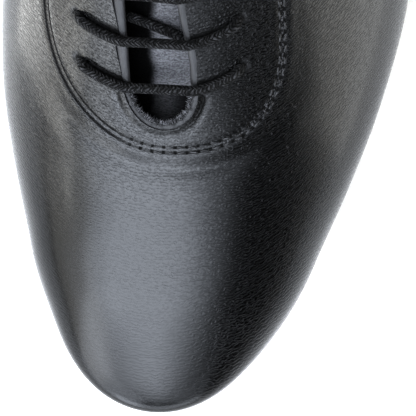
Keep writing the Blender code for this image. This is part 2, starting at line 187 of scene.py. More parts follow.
def smooth_line(points: np.ndarray, steps: int) -> np.ndarray:
    """A smooth line through points.

    Args:
        points: Points that it passes.
        steps: Pieces between one point and the next.

    Returns:
        The line's points.
    """
    ahead = np.vstack([points[:1] * 2.0 - points[1:2], points, points[-1:] * 2.0 - points[-2:-1]])
    share = (np.arange(steps) / steps)[:, None]
    made = []
    for a, b, c, d in zip(ahead, ahead[1:], ahead[2:], ahead[3:]):
        bend = (2.0 * a - 5.0 * b + 4.0 * c - d) * share**2 + (3.0 * b - a - 3.0 * c + d) * share**3
        made.append(b + 0.5 * ((c - a) * share + bend))
    return np.vstack(made + [points[-1:]])


class Section(NamedTuple):
    """One cross-section of the last. Half-widths count from the centre line, before the ends round off."""

    from_toe: float
    medial: float
    lateral: float
    tuck_medial: float
    tuck_lateral: float
    rise: float
    ridge_x: float
    ridge_z: float
    peak: float


SECTIONS = (
    Section(0.0, 30.7, 29.5, 2.2, 2.2, 8.0, 0.0, 28.0, 2.0),
    Section(12.0, 30.1, 30.1, 2.4, 2.4, 8.5, 0.0, 30.0, 2.0),
    Section(24.0, 30.6, 32.4, 2.6, 2.6, 9.0, 0.0, 32.6, 2.05),
    Section(40.0, 34.5, 36.8, 3.0, 3.0, 9.5, 0.2, 36.5, 2.05),
    Section(60.0, 40.2, 44.0, 3.2, 3.2, 10.5, 0.4, 42.0, 1.9),
    Section(80.0, 44.7, 50.3, 3.6, 3.4, 12.0, -1.4, 51.0, 1.7),
    Section(104.0, 46.5, 55.5, 4.5, 3.8, 14.5, -3.0, 65.5, 1.65),
    Section(118.0, 45.6, 56.0, 6.0, 4.4, 16.5, -3.0, 77.0, 1.7),
    Section(134.0, 41.8, 53.0, 8.5, 5.2, 19.0, -2.0, 91.0, 1.8),
    Section(159.0, 36.0, 47.0, 9.5, 6.0, 22.0, 0.0, 110.0, 2.1),
    Section(184.0, 33.5, 41.0, 8.0, 6.0, 24.0, 0.0, 120.0, 2.3),
    Section(209.0, 33.0, 36.5, 6.0, 5.2, 24.0, 0.0, 124.0, 2.4),
    Section(234.0, 33.6, 34.6, 4.5, 4.5, 22.0, 0.0, 125.0, 2.4),
    Section(260.0, 32.5, 32.5, 4.0, 4.0, 20.0, 0.0, 125.0, 2.4),
    Section(284.0, 31.0, 31.0, 4.0, 4.0, 20.0, 0.0, 125.0, 2.4),
)


@dataclass(frozen=True)
class Slice:
    """Halves of the last at stations: arrays of the widest line, the feather line and the ridge."""

    widest: np.ndarray
    feather: np.ndarray
    ridge: np.ndarray
    rise: np.ndarray
    low: np.ndarray
    high: np.ndarray
    top: np.ndarray
    peak: np.ndarray


@dataclass(frozen=True)
class Last:
    """The form that the shoe is made on."""

    length: float = 284.0
    toe_reach: float = 40.0
    nose_reach: float = 30.0
    heel_reach: float = 36.0
    toe_tuck: float = 2.2
    back_tuck: float = 3.0
    back_lean: float = 6.5
    back_lean_reach: float = 70.0
    back_lean_rise: float = 38.0
    tread_front: float = 69.0
    tread_back: float = 109.0
    heel_length: float = 60.0
    heel_height: float = 38.0
    seat_drop: float = 4.0
    toe_spring: float = 8.0
    sole_room: float = 4.0
    middle: tuple[float, float, float] = (4.832, 142.0, 0.0)

    def to_frame(self, points: np.ndarray) -> np.ndarray:
        """Points moved from the last to the frame, in metres."""
        return (np.asarray(points, float) - np.array(self.middle)) * MM

    def column(self, name: str, station: np.ndarray) -> np.ndarray:
        """A column of the section table as a smooth curve.

        Args:
            name: The column.
            station: Where to read it.

        Returns:
            Its values.
        """
        rows = np.array([row.from_toe for row in SECTIONS])
        values = np.array([getattr(row, name) for row in SECTIONS])
        order = np.arange(len(rows))
        before, after = np.maximum(order - 1, 0), np.minimum(order + 1, len(rows) - 1)
        slopes = (values[after] - values[before]) / (rows[after] - rows[before])
        near = np.clip(np.searchsorted(rows, station, side="right") - 1, 0, len(rows) - 2)
        span = rows[near + 1] - rows[near]
        share = (station - rows[near]) / span
        ease = smooth_step(0.0, 1.0, share)
        value = values[near] * (1.0 - ease) + values[near + 1] * ease
        value = value + slopes[near] * span * share * (1.0 - share) ** 2
        return value - slopes[near + 1] * span * share**2 * (1.0 - share)

    def sole_bottom(self, station: np.ndarray) -> np.ndarray:
        """Height of the sole's underside: toe spring, flat tread, the waist's rise and the heel seat.

        Args:
            station: Distances from the toe.

        Returns:
            Heights above the floor.
        """
        station = np.asarray(station, float)
        breast = self.length - self.heel_length
        breast_height = self.heel_height - self.seat_drop
        slope = self.seat_drop / self.heel_length
        span = breast - self.tread_back
        share = np.clip((station - self.tread_back) / span, 0.0, 1.0)
        ease = smooth_step(0.0, 1.0, share)
        height = breast_height * ease - slope * span * share * share * (1.0 - share)
        height = height + slope * np.maximum(station - breast, 0.0)
        spring = np.maximum(self.tread_front - station, 0.0) / self.tread_front
        return height + self.toe_spring * spring**2

    def slice(self, station: np.ndarray, side: Side) -> Slice:
        """Half-sections at stations.

        Args:
            station: Where they are.
            side: Which half.

        Returns:
            Their lines.
        """
        ends = end_round(station, self.toe_reach) * end_round(self.length - station, self.heel_reach)
        word = side.name.lower()
        wide = self.column(word, station)
        rise = self.column("rise", station)
        low = self.sole_bottom(station) + self.sole_room
        high = low + rise
        nose = end_round(station, self.nose_reach)
        return Slice(
            widest=wide * ends,
            feather=(wide - self.column("tuck_" + word, station)) * ends,
            ridge=side.value * self.column("ridge_x", station) * ends,
            rise=rise,
            low=low,
            high=high,
            top=high + (self.column("ridge_z", station) - high) * nose,
            peak=self.column("peak", station),
        )

    def point(self, station: np.ndarray | float, side: Side, up: np.ndarray | float) -> np.ndarray:
        """Points on the outside of the last.

        Args:
            station: Distances from the toe.
            side: Which half.
            up: -1 at the feather line, 0 at the widest line, 1 at the ridge.

        Returns:
            The points.
        """
        station, up = np.broadcast_arrays(np.asarray(station, float), np.asarray(up, float))
        half = self.slice(station, side)
        share = 1.0 + np.minimum(up, 0.0)
        low_out = half.feather + (half.widest - half.feather) * (1.0 - (1.0 - share) ** 2)
        turn = math.pi / 2.0 * np.clip(up, 0.0, 1.0)
        power = 2.0 / half.peak
        top_out = half.ridge + (half.widest - half.ridge) * np.maximum(np.cos(turn), 0.0) ** power
        top_z = half.high + (half.top - half.high) * np.sin(turn) ** power
        out = np.where(up < 0.0, low_out, top_out)
        z = np.where(up < 0.0, half.low + half.rise * share, top_z)
        height = z - half.low
        under = np.maximum(1.0 - height / half.rise, 0.0) ** 2
        toe = np.maximum(1.0 - station / self.toe_reach, 0.0) ** 2
        back = np.maximum(1.0 - (self.length - station) / self.back_lean_reach, 0.0) ** 2
        lean = self.back_lean * (np.maximum(height - half.rise, 0.0) / self.back_lean_rise) ** 1.5
        y = station + self.toe_tuck * under * toe - (self.back_tuck * under + lean) * back
        return np.stack([side.value * out, y, z], -1)

    def normal(self, station: np.ndarray | float, side: Side, up: np.ndarray | float) -> np.ndarray:
        """Outward directions of the last's surface, at the places that point takes.

        Args:
            station: Distances from the toe.
            side: Which half.
            up: -1 at the feather line, 0 at the widest line, 1 at the ridge.

        Returns:
            Directions of length 1.
        """
        station, up = np.broadcast_arrays(np.asarray(station, float), np.asarray(up, float))
        near, far = np.maximum(station - 0.4, 0.0), np.minimum(station + 0.4, self.length)
        lower, upper = np.maximum(up - 0.006, -1.0), np.minimum(up + 0.006, 1.0)
        along = self.point(far, side, up) - self.point(near, side, up)
        upward = self.point(station, side, upper) - self.point(station, side, lower)
        made = unit(side.value * np.cross(along, upward))
        tip = (station <= 0.0) | (station >= self.length)
        made[..., 0] = np.where(tip, 0.0, made[..., 0])
        return unit(made)

    def up_at_width(self, station: np.ndarray | float, side: Side, out: np.ndarray | float) -> np.ndarray:
        """Where the sections lie this far from the ridge, seen from above.

        Args:
            station: Distances from the toe.
            side: Which half.
            out: Distances from the ridge.

        Returns:
            The up of those places.
        """
        half = self.slice(np.asarray(station, float), side)
        share = np.clip(out / np.maximum(half.widest - half.ridge, 1e-6), 0.0, 1.0)
        return np.arccos(share ** (half.peak / 2.0)) / (math.pi / 2.0)

    def up_at_height(self, station: np.ndarray | float, side: Side, z: np.ndarray | float) -> np.ndarray:
        """Where the sections reach this height.

        Args:
            station: Distances from the toe.
            side: Which half.
            z: Heights above the floor.

        Returns:
            The up of those places.
        """
        half = self.slice(np.asarray(station, float), side)
        share = np.clip((z - half.high) / np.maximum(half.top - half.high, 1e-6), 0.0, 1.0)
        return np.arcsin(share ** (half.peak / 2.0)) / (math.pi / 2.0)

    def outline(self, stations: np.ndarray, side: Side, offset: float) -> np.ndarray:
        """The feather line seen from above, moved outwards.

        Args:
            stations: Where its points are, from toe tip to heel back or part of that.
            side: Which half.
            offset: How far outwards.

        Returns:
            Points of two numbers.
        """
        line = self.point(stations, side, -1.0)[:, :2]
        mirror = np.array([-1.0, 1.0])
        before = np.vstack([line[1:2] * mirror if abs(line[0, 0]) < 0.01 else line[:1], line[:-1]])
        after = np.vstack([line[1:], line[-2:-1] * mirror if abs(line[-1, 0]) < 0.01 else line[-1:]])
        along = unit(after - before)
        outward = side.value * np.stack([along[:, 1], -along[:, 0]], 1)
        return line + outward * offset


class NodeBench:
    """Adds nodes to one node tree."""

    def __init__(self, tree: bpy.types.NodeTree) -> None:
        """Keeps the tree."""
        self.tree = tree

    def node(self, kind: str, settings: dict[str, Any] | None = None,
             sockets: dict[str, Any] | None = None) -> bpy.types.Node:
        """A new node.

        Args:
            kind: Its type.
            settings: Its own settings, set first.
            sockets: Values or links of its inputs, by name.

        Returns:
            The node.
        """
        made = self.tree.nodes.new(kind)
        for name, value in (settings or {}).items():
            setattr(made, name, value)
        for name, value in (sockets or {}).items():
            self.feed(next(s for s in made.inputs if s.name == name and s.enabled), value)
        return made

    def feed(self, socket: bpy.types.NodeSocket, value: Any) -> None:
        """Sets an input, or links it.

        Args:
            socket: The input.
            value: A number, a tuple, a socket, a node or a Value.
        """
        if isinstance(value, Value):
            value = value.socket
        if isinstance(value, bpy.types.Node):
            value = next(s for s in value.outputs if s.enabled)
        if isinstance(value, bpy.types.NodeSocket):
            self.tree.links.new(value, socket)
        else:
            socket.default_value = value

    def value(self, node: bpy.types.Node, name: str | None = None) -> Value:
        """A node's output as a number for expressions."""
        return Value(self, next(s for s in node.outputs if s.enabled and name in (None, s.name)))

    def attribute(self, name: str) -> Value:
        """A number that the mesh carries."""
        return self.value(self.node("ShaderNodeAttribute", {"attribute_name": name}), "Fac")

    def noise(self, place: Sequence[Any], scale: float | Sequence[float], detail: float = 2.0,
              roughness: float = 0.5) -> Value:
        """Soft random unevenness between 0 and 1.

        Args:
            place: Three numbers that say where.
            scale: How close it is, for all three or for each.
            detail: How many finer layers it has.
            roughness: How strong they are.

        Returns:
            The unevenness.
        """
        scales = (scale,) * 3 if isinstance(scale, float) else scale
        vector = self.vector(*(part * by for part, by in zip(place, scales)))
        inputs = {"Vector": vector, "Scale": 1.0, "Detail": detail, "Roughness": roughness}
        return self.value(self.node("ShaderNodeTexNoise", None, inputs), "Fac")

    def parts(self, vector: Any) -> tuple[Value, Value, Value]:
        """The three numbers of a vector."""
        made = self.node("ShaderNodeSeparateXYZ", None, {"Vector": vector})
        return tuple(self.value(made, axis) for axis in "XYZ")

    def place(self) -> tuple[Value, Value, Value]:
        """The place on the piece in millimetres, in the frame's axes."""
        whole = self.parts(self.node("ShaderNodeTexCoord").outputs["Object"])
        return tuple(part * MM_IN_METRE for part in whole)

    def upright(self) -> Value:
        """How far the surface faces upwards, 1 where it is level."""
        return self.parts(self.node("ShaderNodeNewGeometry").outputs["Normal"])[2]

    def vector(self, x: Any, y: Any, z: Any) -> bpy.types.NodeSocket:
        """A vector of three numbers."""
        return self.node("ShaderNodeCombineXYZ", None, {"X": x, "Y": y, "Z": z}).outputs[0]

    def mix(self, share: Any, first: Any, second: Any) -> bpy.types.NodeSocket:
        """A colour between two."""
        made = self.node("ShaderNodeMix", {"data_type": "RGBA"}, {"Factor": share, "A": first, "B": second})
        return next(s for s in made.outputs if s.enabled)


class Value:
    """A number that a node works out, for use in Python expressions."""

    def __init__(self, bench: NodeBench, socket: bpy.types.NodeSocket) -> None:
        """Keeps the socket."""
        self.bench = bench
        self.socket = socket

    def math(self, operation: str, *others: Any, first: Any = None) -> Value:
        """A Math node on this number.

        Args:
            operation: The node's operation.
            others: The numbers after this one.
            first: A number to put before it.

        Returns:
            The result.
        """
        made = self.bench.node("ShaderNodeMath", {"operation": operation})
        values = ([first] if first is not None else []) + [self, *others]
        for socket, value in zip(made.inputs, values):
            self.bench.feed(socket, value)
        return Value(self.bench, made.outputs[0])

    def __add__(self, other: Any) -> Value:
        """Sum."""
        return self.math("ADD", other)

    __radd__ = __add__

    def __sub__(self, other: Any) -> Value:
        """Difference."""
        return self.math("SUBTRACT", other)

    def __rsub__(self, other: Any) -> Value:
        """Difference from a number before it."""
        return self.math("SUBTRACT", first=other)

    def __mul__(self, other: Any) -> Value:
        """Product."""
        return self.math("MULTIPLY", other)

    __rmul__ = __mul__

    def __truediv__(self, other: Any) -> Value:
        """Quotient."""
        return self.math("DIVIDE", other)

    def size(self) -> Value:
        """The number without its sign."""
        return self.math("ABSOLUTE")

    def least(self, other: Any) -> Value:
        """The smaller of two."""
        return self.math("MINIMUM", other)

    def most(self, other: Any) -> Value:
        """The larger of two."""
        return self.math("MAXIMUM", other)

    def ease(self, start: float, stop: float) -> Value:
        """Rises softly from 0 at start to 1 at stop.

        Args:
            start: Where the rise begins.
            stop: Where it ends.

        Returns:
            The eased share.
        """
        inputs = {"Value": self, "From Min": start, "From Max": stop, "To Min": 0.0, "To Max": 1.0}
        made = self.bench.node("ShaderNodeMapRange", {"interpolation_type": "SMOOTHSTEP"}, inputs)
        return self.bench.value(made)

    def groove(self, middle: float, half: float) -> Value:
        """1 along a line and 0 beyond half a width from it."""
        return 1.0 - (self - middle).size().ease(0.0, half)


Colour = tuple[float, float, float]


class Surface(NamedTuple):
    """What changes over a surface: colour, relief in millimetres, roughness and coat."""

    tone: Any
    relief: Any
    gloss: Any = None
    coat: Any = None


@dataclass(frozen=True)
class Finish:
    """A finish: what every material here is made from."""

    name: str
    colour: Colour
    roughness: float
    coat: float = 0.0
    coat_roughness: float = 0.2
    specular: float = 0.5
    sheen: float = 0.0

    def make(self) -> bpy.types.Material:
        """The finish as a material.

        Returns:
            The material.
        """
        material = bpy.data.materials.new(self.name)
        material.use_nodes = True
        bench = NodeBench(material.node_tree)
        shader = material.node_tree.nodes["Principled BSDF"]
        made = self.dress(bench)
        bump = bench.node("ShaderNodeBump", None, {"Strength": 1.0, "Distance": MM, "Height": made.relief})
        plain = {"Roughness": self.roughness, "Coat Weight": self.coat, "Coat Roughness": self.coat_roughness,
                 "Specular IOR Level": self.specular, "Sheen Weight": self.sheen}
        varied = {"Base Color": made.tone, "Roughness": made.gloss, "Coat Weight": made.coat, "Normal": bump}
        for name, value in [*plain.items(), *varied.items()]:
            if value is not None:
                bench.feed(shader.inputs[name], value)
        return material

    def dress(self, bench: NodeBench) -> Surface:
        """What changes over the surface, which each finish says for itself."""
        raise NotImplementedError

    def tones(self, bench: NodeBench, share: Any, dark: float, light: float) -> bpy.types.NodeSocket:
        """A colour between a darker and a lighter one of its own."""
        return bench.mix(share, self.shade(dark), self.shade(light))

    def shade(self, share: float) -> tuple[float, float, float, float]:
        """The colour made lighter or darker."""
        return (*(part * share for part in self.colour), 1.0)


@dataclass(frozen=True)
class GrainLeather(Finish):
    """Satin calf leather: plump ripples across the shoe with narrow creases between them, over small pebbles."""

    ripple: float = 0.74
    warp: float = 1.9
    swell: float = 0.12
    pebble: float = 0.04
    shimmer: float = 0.5
    bend: float = 0.016
    middle: float = -5.0
    toe_calm: float = 0.28
    stipple: float = 0.8
    seams: bool = False
    shaded: bool = False
    grained: tuple[float, float] = (-100.0, -70.0)
    stippled: tuple[float, float] = (-88.0, -72.0)
    back_seam: float = -4.832
    # Colour of the painted glints: pale specks along the lateral seam.
    painted_glint_tone: tuple[float, float, float, float] = (0.075, 0.075, 0.078, 1.0)

    def dress(self, bench: NodeBench) -> Surface:
        """Grain with painted shade in its creases and pits, uneven gloss, and the sewn lines or the painted shade
        where the piece has them.

        Args:
            bench: Where the nodes go.

        Returns:
            What changes over the surface.
        """
        x, y, z = bench.place()
        off = x - self.middle
        bent = y - off * off * self.bend
        bow = bench.noise((off, y, z), 0.8, 1.0)
        fade = bench.noise((off, bent, z), (1.2, 1.3, 1.2), 1.0)
        wave = ((bent / self.ripple + bow * self.warp) * (2.0 * math.pi)).math("SINE") * 0.5 + 0.5
        wave = 1.0 - (1.0 - wave) * (0.4 + 0.6 * fade.ease(0.35, 0.6))
        pebble = bench.noise((off, bent, z), (1.9, 2.4, 1.9), 0.0)
        cloud = bench.noise((off, y, z), 0.05)
        calm = self.toe_calm + (1.0 - self.toe_calm) * (y.ease(*self.grained) + off.ease(6.0, 22.0)).least(1.0)
        calm = calm * (0.35 + 0.65 * bench.upright().ease(0.3, 0.75))
        height = (wave * self.swell + pebble * (self.pebble + 0.05 * off.ease(8.0, 20.0))) * calm
        # Painted shade: the tone is lighter on the ripples' crests and darker in the creases between them.
        tone = self.tones(bench, cloud.ease(0.3, 0.7) * 0.4 + wave * 0.6, 0.5, 1.35)
        gloss = self.roughness + (0.7 - wave) * calm * 0.18 + (cloud - 0.5) * 0.06
        coat = self.coat * (1.0 + self.shimmer * calm * (wave - 0.6))
        # Painted shade in the grain's pits: below they are sunk a little and painted darker.
        pit = (1.0 - pebble.ease(0.34, 0.48)) * y.ease(*self.stippled) * self.stipple
        if self.seams:
            pit = pit * (1.0 - bench.attribute("seam").ease(1.0, 7.0))
        height = height - pit * 0.06
        tone = bench.mix(pit, tone, self.shade(0.2))
        gloss = gloss + pit * 0.12
        coat = coat * (1.0 - pit * 0.55)
        if self.seams:
            return self.sewn(bench, Surface(tone, height, gloss, coat), (x, y, z), cloud)
        # The deep mark: painted shade where the tongue lies in shadow, and the plain black of its far end.
        if self.shaded:
            deep = bench.attribute("deep")
            tone = bench.mix(deep, tone, self.shade(0.012))
            gloss = gloss + deep * 0.5
            coat = coat * (1.0 - deep)
        return Surface(tone, height, gloss, coat)

    def sewn(self, bench: NodeBench, skin: Surface, place: Sequence[Value], cloud: Value) -> Surface:
        """Adds what the upper carries: seam rows, eyelets and creases of the rim, with painted shade in the stitch
        holes, the seam grooves, the eyelet holes and the rim's creases, a painted shadow behind the lace bars and
        painted glints along the lateral seam.

        Args:
            bench: Where the nodes go.
            skin: The leather without them.
            place: The place on the piece.
            cloud: Its broad unevenness.

        Returns:
            The leather with them.
        """
        tone, height, gloss, coat = skin
        x, y, _ = place
        off = x - self.middle
        seam = bench.attribute("seam")
        run = (bench.attribute("run") / STITCH_PITCH).math("FRACT")
        inner, outer = SEAM_ROWS
        row = seam.groove(inner, 0.45).most(seam.groove(outer, 0.55))
        spot = seam.groove(inner, 0.6).most(seam.groove(outer, 0.65))
        plain = 1.0 - off.ease(-14.0, -6.0)
        prick = 1.0 - run.math("PINGPONG", 0.5).ease(0.1, 0.19)
        pricked = spot.ease(0.2, 0.55) * prick * (1.0 - plain * 0.7)
        # Painted shade: the eyelet holes, the stitch holes and the seam rows' grooves are painted dark, the grooves
        # darker on the medial side.
        hole = 1.0 - bench.attribute("eyelet").ease(0.5, 1.2)
        dark = hole.most(pricked).most(row.ease(0.2, 0.6) * (0.45 + 0.5 * plain))
        # Painted shade in the crease that runs beside the throat's front rim.
        dark = dark.most(bench.attribute("rim").groove(2.9, 0.9) * y.ease(-73.0, -69.0) * 0.85)
        # Painted shadow behind each lace bar, darkest close behind it where the bar lifts off the facing.
        dark = dark.most(bench.attribute("lace_shadow").ease(0.1, 0.8) * 0.95)
        back = (x - self.back_seam).groove(0.0, 0.5) * y.ease(100.0, 110.0)
        rim = bench.attribute("rim") + (bench.noise((x, y, 0.0), 0.35) - 0.5) * 1.6
        crease = rim.groove(2.3, 0.4).most(rim.groove(3.1, 0.35) * off.ease(4.0, 9.0))
        crease = crease * cloud.ease(0.3, 0.55)
        speck = bench.noise(place, (2.1, 1.7, 2.1), 1.0)
        # Painted highlight: pale specks between the lateral seam rows stand in for glints of light on them.
        painted_glint = seam.groove(-0.65, 1.5).ease(0.05, 0.5) * off.ease(8.0, 18.0)
        painted_glint = painted_glint * speck.ease(0.5, 0.6) * (1.0 - pricked)
        height = height - row * 0.1 - pricked * 0.3 - back * 0.2 - crease * 0.2 + painted_glint * 0.12
        tone = bench.mix(painted_glint, bench.mix(dark, tone, self.shade(0.1)), self.painted_glint_tone)
        return Surface(tone, height, gloss + dark * 0.5, coat * (1.0 - dark))


@dataclass(frozen=True)
class SmoothLeather(Finish):
    """Leather rolled over an edge: smooth, with a little unevenness and worn patches."""

    def dress(self, bench: NodeBench) -> Surface:
        """Soft patches and a faint grain.

        Args:
            bench: Where the nodes go.

        Returns:
            What changes over the surface.
        """
        place = bench.place()
        patch, grain = bench.noise(place, 0.3, 3.0), bench.noise(place, 2.2)
        tone = self.tones(bench, patch.ease(0.3, 0.7), 0.7, 1.3)
        return Surface(tone, grain * 0.08 + patch * 0.1, self.roughness + (grain - 0.5) * 0.15)


@dataclass(frozen=True)
class BraidedCord(Finish):
    """A round braided cord: two sets of yarns, each over two and under two of the other."""

    yarns: float = 6.0
    lay: float = 6.0
    depth: float = 0.45

    def dress(self, bench: NodeBench) -> Surface:
        """The braid's relief, with painted shade: the raised yarns painted lighter and the gaps between them darker.

        Args:
            bench: Where the nodes go.

        Returns:
            What changes over the surface.
        """
        run = bench.attribute("along") * (MM_IN_METRE * self.yarns / self.lay)
        ring = bench.node("ShaderNodeAttribute", {"attribute_name": "round"}).outputs["Vector"]
        across, upward, _ = bench.parts(ring)
        turn = upward.math("ARCTAN2", across) * (self.yarns / (2.0 * math.pi))
        place = bench.place()
        worn = bench.noise(place, 0.9)
        run = run + (bench.noise(place, 0.6, 1.0) - 0.5) * 1.8
        right, left = turn + run, turn - run
        count = (right.math("FLOOR") + left.math("FLOOR")).math("FLOORED_MODULO", 4.0)
        over = count.math("LESS_THAN", 1.5)
        first = right.math("PINGPONG", 0.5) * 2.0
        second = left.math("PINGPONG", 0.5) * 2.0
        yarn = (first * over + second * (1.0 - over)).ease(0.0, 0.9)
        fuzz = bench.noise((run, turn, 0.0), 0.8, 3.0)
        # Painted shade: the tone follows the yarns' relief, light on top and dark in the gaps.
        shade = yarn.ease(0.3, 0.9) * worn.ease(0.3, 0.7) * (0.3 + 1.4 * fuzz)
        tone = self.tones(bench, shade, 0.02, 4.2)
        return Surface(tone, yarn * self.depth + fuzz * 0.05, self.roughness + (fuzz - 0.5) * 0.2)


@dataclass(frozen=True)
class Thread(Finish):
    """Sewing thread: two plies with a slight shine."""

    def dress(self, bench: NodeBench) -> Surface:
        """The twist of the plies, with painted shade: lighter where the twist stands up and darker in its grooves.

        Args:
            bench: Where the nodes go.

        Returns:
            What changes over the surface.
        """
        x, y, z = bench.place()
        twist = ((x + y + z) * 2.2).math("SINE")
        return Surface(self.tones(bench, twist.ease(-1.0, 1.0), 0.5, 1.3), twist * 0.03)


@dataclass(frozen=True)
class Nap(Finish):
    """Brushed suede or a fabric-like flesh side: a short nap in clouds."""

    scale: float = 1.0

    def dress(self, bench: NodeBench) -> Surface:
        """Fibres and brushed clouds.

        Args:
            bench: Where the nodes go.

        Returns:
            What changes over the surface.
        """
        place = [part * self.scale for part in bench.place()]
        fibre = bench.noise(place, (3.5, 1.4, 3.5), 4.0, 0.7)
        cloud = bench.noise(place, (0.08, 0.05, 0.08), 3.0)
        share = fibre.ease(0.25, 0.75) * 0.5 + cloud.ease(0.3, 0.7) * 0.5
        return Surface(self.tones(bench, share, 0.65, 1.3), fibre * 0.12, self.roughness - fibre * 0.08)


@dataclass(frozen=True)
class Lacquer(Finish):
    """Lacquered heel leather, with faint layer lines and small scuffs."""

    layer: float = 4.0

    def dress(self, bench: NodeBench) -> Surface:
        """Layer lines, scuffs and an uneven gloss.

        Args:
            bench: Where the nodes go.

        Returns:
            What changes over the surface.
        """
        place = bench.place()
        line = (place[2] / self.layer).math("PINGPONG", 0.5).ease(0.0, 0.06)
        scuff = bench.noise(place, (0.4, 0.4, 1.6), 5.0, 0.7)
        tone = self.tones(bench, scuff.ease(0.45, 0.8), 0.8, 1.6)
        return Surface(tone, line * 0.12 + scuff * 0.05, self.roughness + (scuff - 0.5) * 0.3)


@dataclass(frozen=True)
class Rubber(Finish):
    """Moulded rubber with a fine tooth."""

    def dress(self, bench: NodeBench) -> Surface:
        """Tooth and dust.

        Args:
            bench: Where the nodes go.

        Returns:
            What changes over the surface.
        """
        place = bench.place()
        tooth, dust = bench.noise(place, 3.0, 3.0), bench.noise(place, 0.2, 4.0)
        tone = self.tones(bench, dust.ease(0.35, 0.75), 0.8, 1.8)
        return Surface(tone, tooth * 0.08, self.roughness + (tooth - 0.5) * 0.15)


UPPER_LEATHER = GrainLeather("black_grain_leather", (0.0008, 0.0008, 0.0009), 0.28, 0.6, 0.2, 0.25, seams=True)
# Painted light: the tongue is black leather, painted grey as it looks when lit; its deep mark turns it to painted
# shade, and to plain black towards its far end.
TONGUE_LEATHER = GrainLeather("tongue_leather_painted_lit", (0.13, 0.13, 0.137), 0.5, 0.3, 0.35, 0.12,
                              ripple=0.62, warp=2.6, swell=0.09, pebble=0.12, toe_calm=1.0, stipple=0.4, shaded=True)
ROLL_LEATHER = SmoothLeather("rolled_edge_leather", (0.02, 0.02, 0.0212), 0.5, 0.12, 0.4)
LINING = Nap("lining_leather", (0.012, 0.0115, 0.011), 0.9)
SOCK_COVER = Nap("sock_cover", (0.045, 0.043, 0.042), 0.75, scale=0.8)
SOLE_SUEDE = Nap("sole_suede", (0.30, 0.27, 0.24), 0.95, sheen=0.3)
EDGE_STAIN = SmoothLeather("stained_sole_edge", (0.014, 0.013, 0.013), 0.45)
HEEL_LACQUER = Lacquer("lacquered_heel", (0.012, 0.012, 0.013), 0.32, 0.3, 0.15)
TIP_RUBBER = Rubber("top_piece_rubber", (0.03, 0.03, 0.03), 0.8)
LACE_CORD = BraidedCord("braided_lace", (0.013, 0.013, 0.0135), 0.75, specular=0.3)
SEAM_THREAD = Thread("seam_thread", (0.006, 0.006, 0.0065), 0.35, 0.3, 0.25)
FRAYED_FIBRE = Thread("frayed_fibre", (0.2, 0.2, 0.21), 0.8)
DARK_FIBRE = Thread("dark_fibre", (0.002, 0.002, 0.002), 0.9)


def grid_faces(rows: int, columns: int, wrap: bool, turn: bool, start: int = 0) -> np.ndarray:
    """Four-sided faces of a grid of points.

    Args:
        rows: Rows of points.
        columns: Points in a row.
        wrap: Whether each row runs back to its first point.
        turn: Whether the faces are turned round.
        start: The first point's number.

    Returns:
        An array of faces, row after row.
    """
    i, j = np.meshgrid(np.arange(rows - 1), np.arange(columns if wrap else columns - 1), indexing="ij")
    after = (j + 1) % columns
    corners = [i * columns + j, (i + 1) * columns + j, (i + 1) * columns + after, i * columns + after]
    faces = np.stack(corners, -1).reshape(-1, 4) + start
    return faces[:, ::-1] if turn else faces


@dataclass
class Draft:
    """A mesh being put together, in millimetres on the last."""

    name: str
    points: list[np.ndarray] = field(default_factory=list)
    faces: list[np.ndarray] = field(default_factory=list)
    finish: list[np.ndarray] = field(default_factory=list)
    marks: dict[str, list[np.ndarray]] = field(default_factory=dict)
    count: int = 0

    def add(self, grid: np.ndarray, wrap: bool, turn: bool, keep: np.ndarray | None = None,
            finish: np.ndarray | int = 0, marks: dict[str, np.ndarray] | None = None) -> None:
        """Adds a grid of points with its faces.

        Args:
            grid: Rows of points.
            wrap: Whether rows close on themselves.
            turn: Whether faces are turned round.
            keep: Which faces are kept, in a grid of its own.
            finish: The number of each face's finish.
            marks: Numbers that each point carries, by name.
        """
        rows, columns = grid.shape[:2]
        faces = grid_faces(rows, columns, wrap, turn, self.count)
        paint = np.broadcast_to(np.asarray(finish), (rows - 1, columns if wrap else columns - 1)).reshape(-1)
        if keep is not None:
            faces, paint = faces[keep.reshape(-1)], paint[keep.reshape(-1)]
        self.points.append(grid.reshape(-1, 3))
        self.faces.append(faces)
        self.finish.append(paint)
        for name, values in (marks or {}).items():
            self.marks.setdefault(name, []).append(values.reshape(-1))
        self.count += rows * columns

    def piece(self, last: Last, finishes: Sequence[bpy.types.Material], sharp: float = 50.0) -> bpy.types.Object:
        """The finished piece: welded, smooth and in the frame.

        Args:
            last: Gives the move to the frame.
            finishes: Its materials.
            sharp: Angle in degrees past which an edge shows.

        Returns:
            The object.
        """
        mesh = bpy.data.meshes.new(self.name)
        mesh.from_pydata(last.to_frame(np.vstack(self.points)).tolist(), [], np.vstack(self.faces).tolist())
        mesh.polygons.foreach_set("material_index", np.concatenate(self.finish).astype(np.int32))
        for name, values in self.marks.items():
            mark = mesh.attributes.new(name, "FLOAT", "POINT")
            mark.data.foreach_set("value", np.concatenate(values).astype(np.float32))
        builder = bmesh.new()
        builder.from_mesh(mesh)
        bmesh.ops.remove_doubles(builder, verts=builder.verts, dist=2e-6)
        bmesh.ops.dissolve_degenerate(builder, edges=builder.edges, dist=1e-7)
        builder.to_mesh(mesh)
        builder.free()
        for finish in finishes:
            mesh.materials.append(finish)
        mesh.shade_smooth()
        mesh.set_sharp_from_angle(angle=math.radians(sharp))
        made = bpy.data.objects.new(self.name, mesh)
        bpy.context.scene.collection.objects.link(made)
        return made


def settle(piece: bpy.types.Object, slot: Slot, *nodes: str) -> bpy.types.Object:
    """Puts a finished piece on the shoe's body.

    Args:
        piece: The piece.
        slot: Not used.
        nodes: The nodes that it stands for.

    Returns:
        The piece.
    """
    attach(piece, BODY)
    if nodes:
        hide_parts(*nodes)
    LOG.info("%s: %d faces", piece.name, len(piece.data.polygons))
    return piece


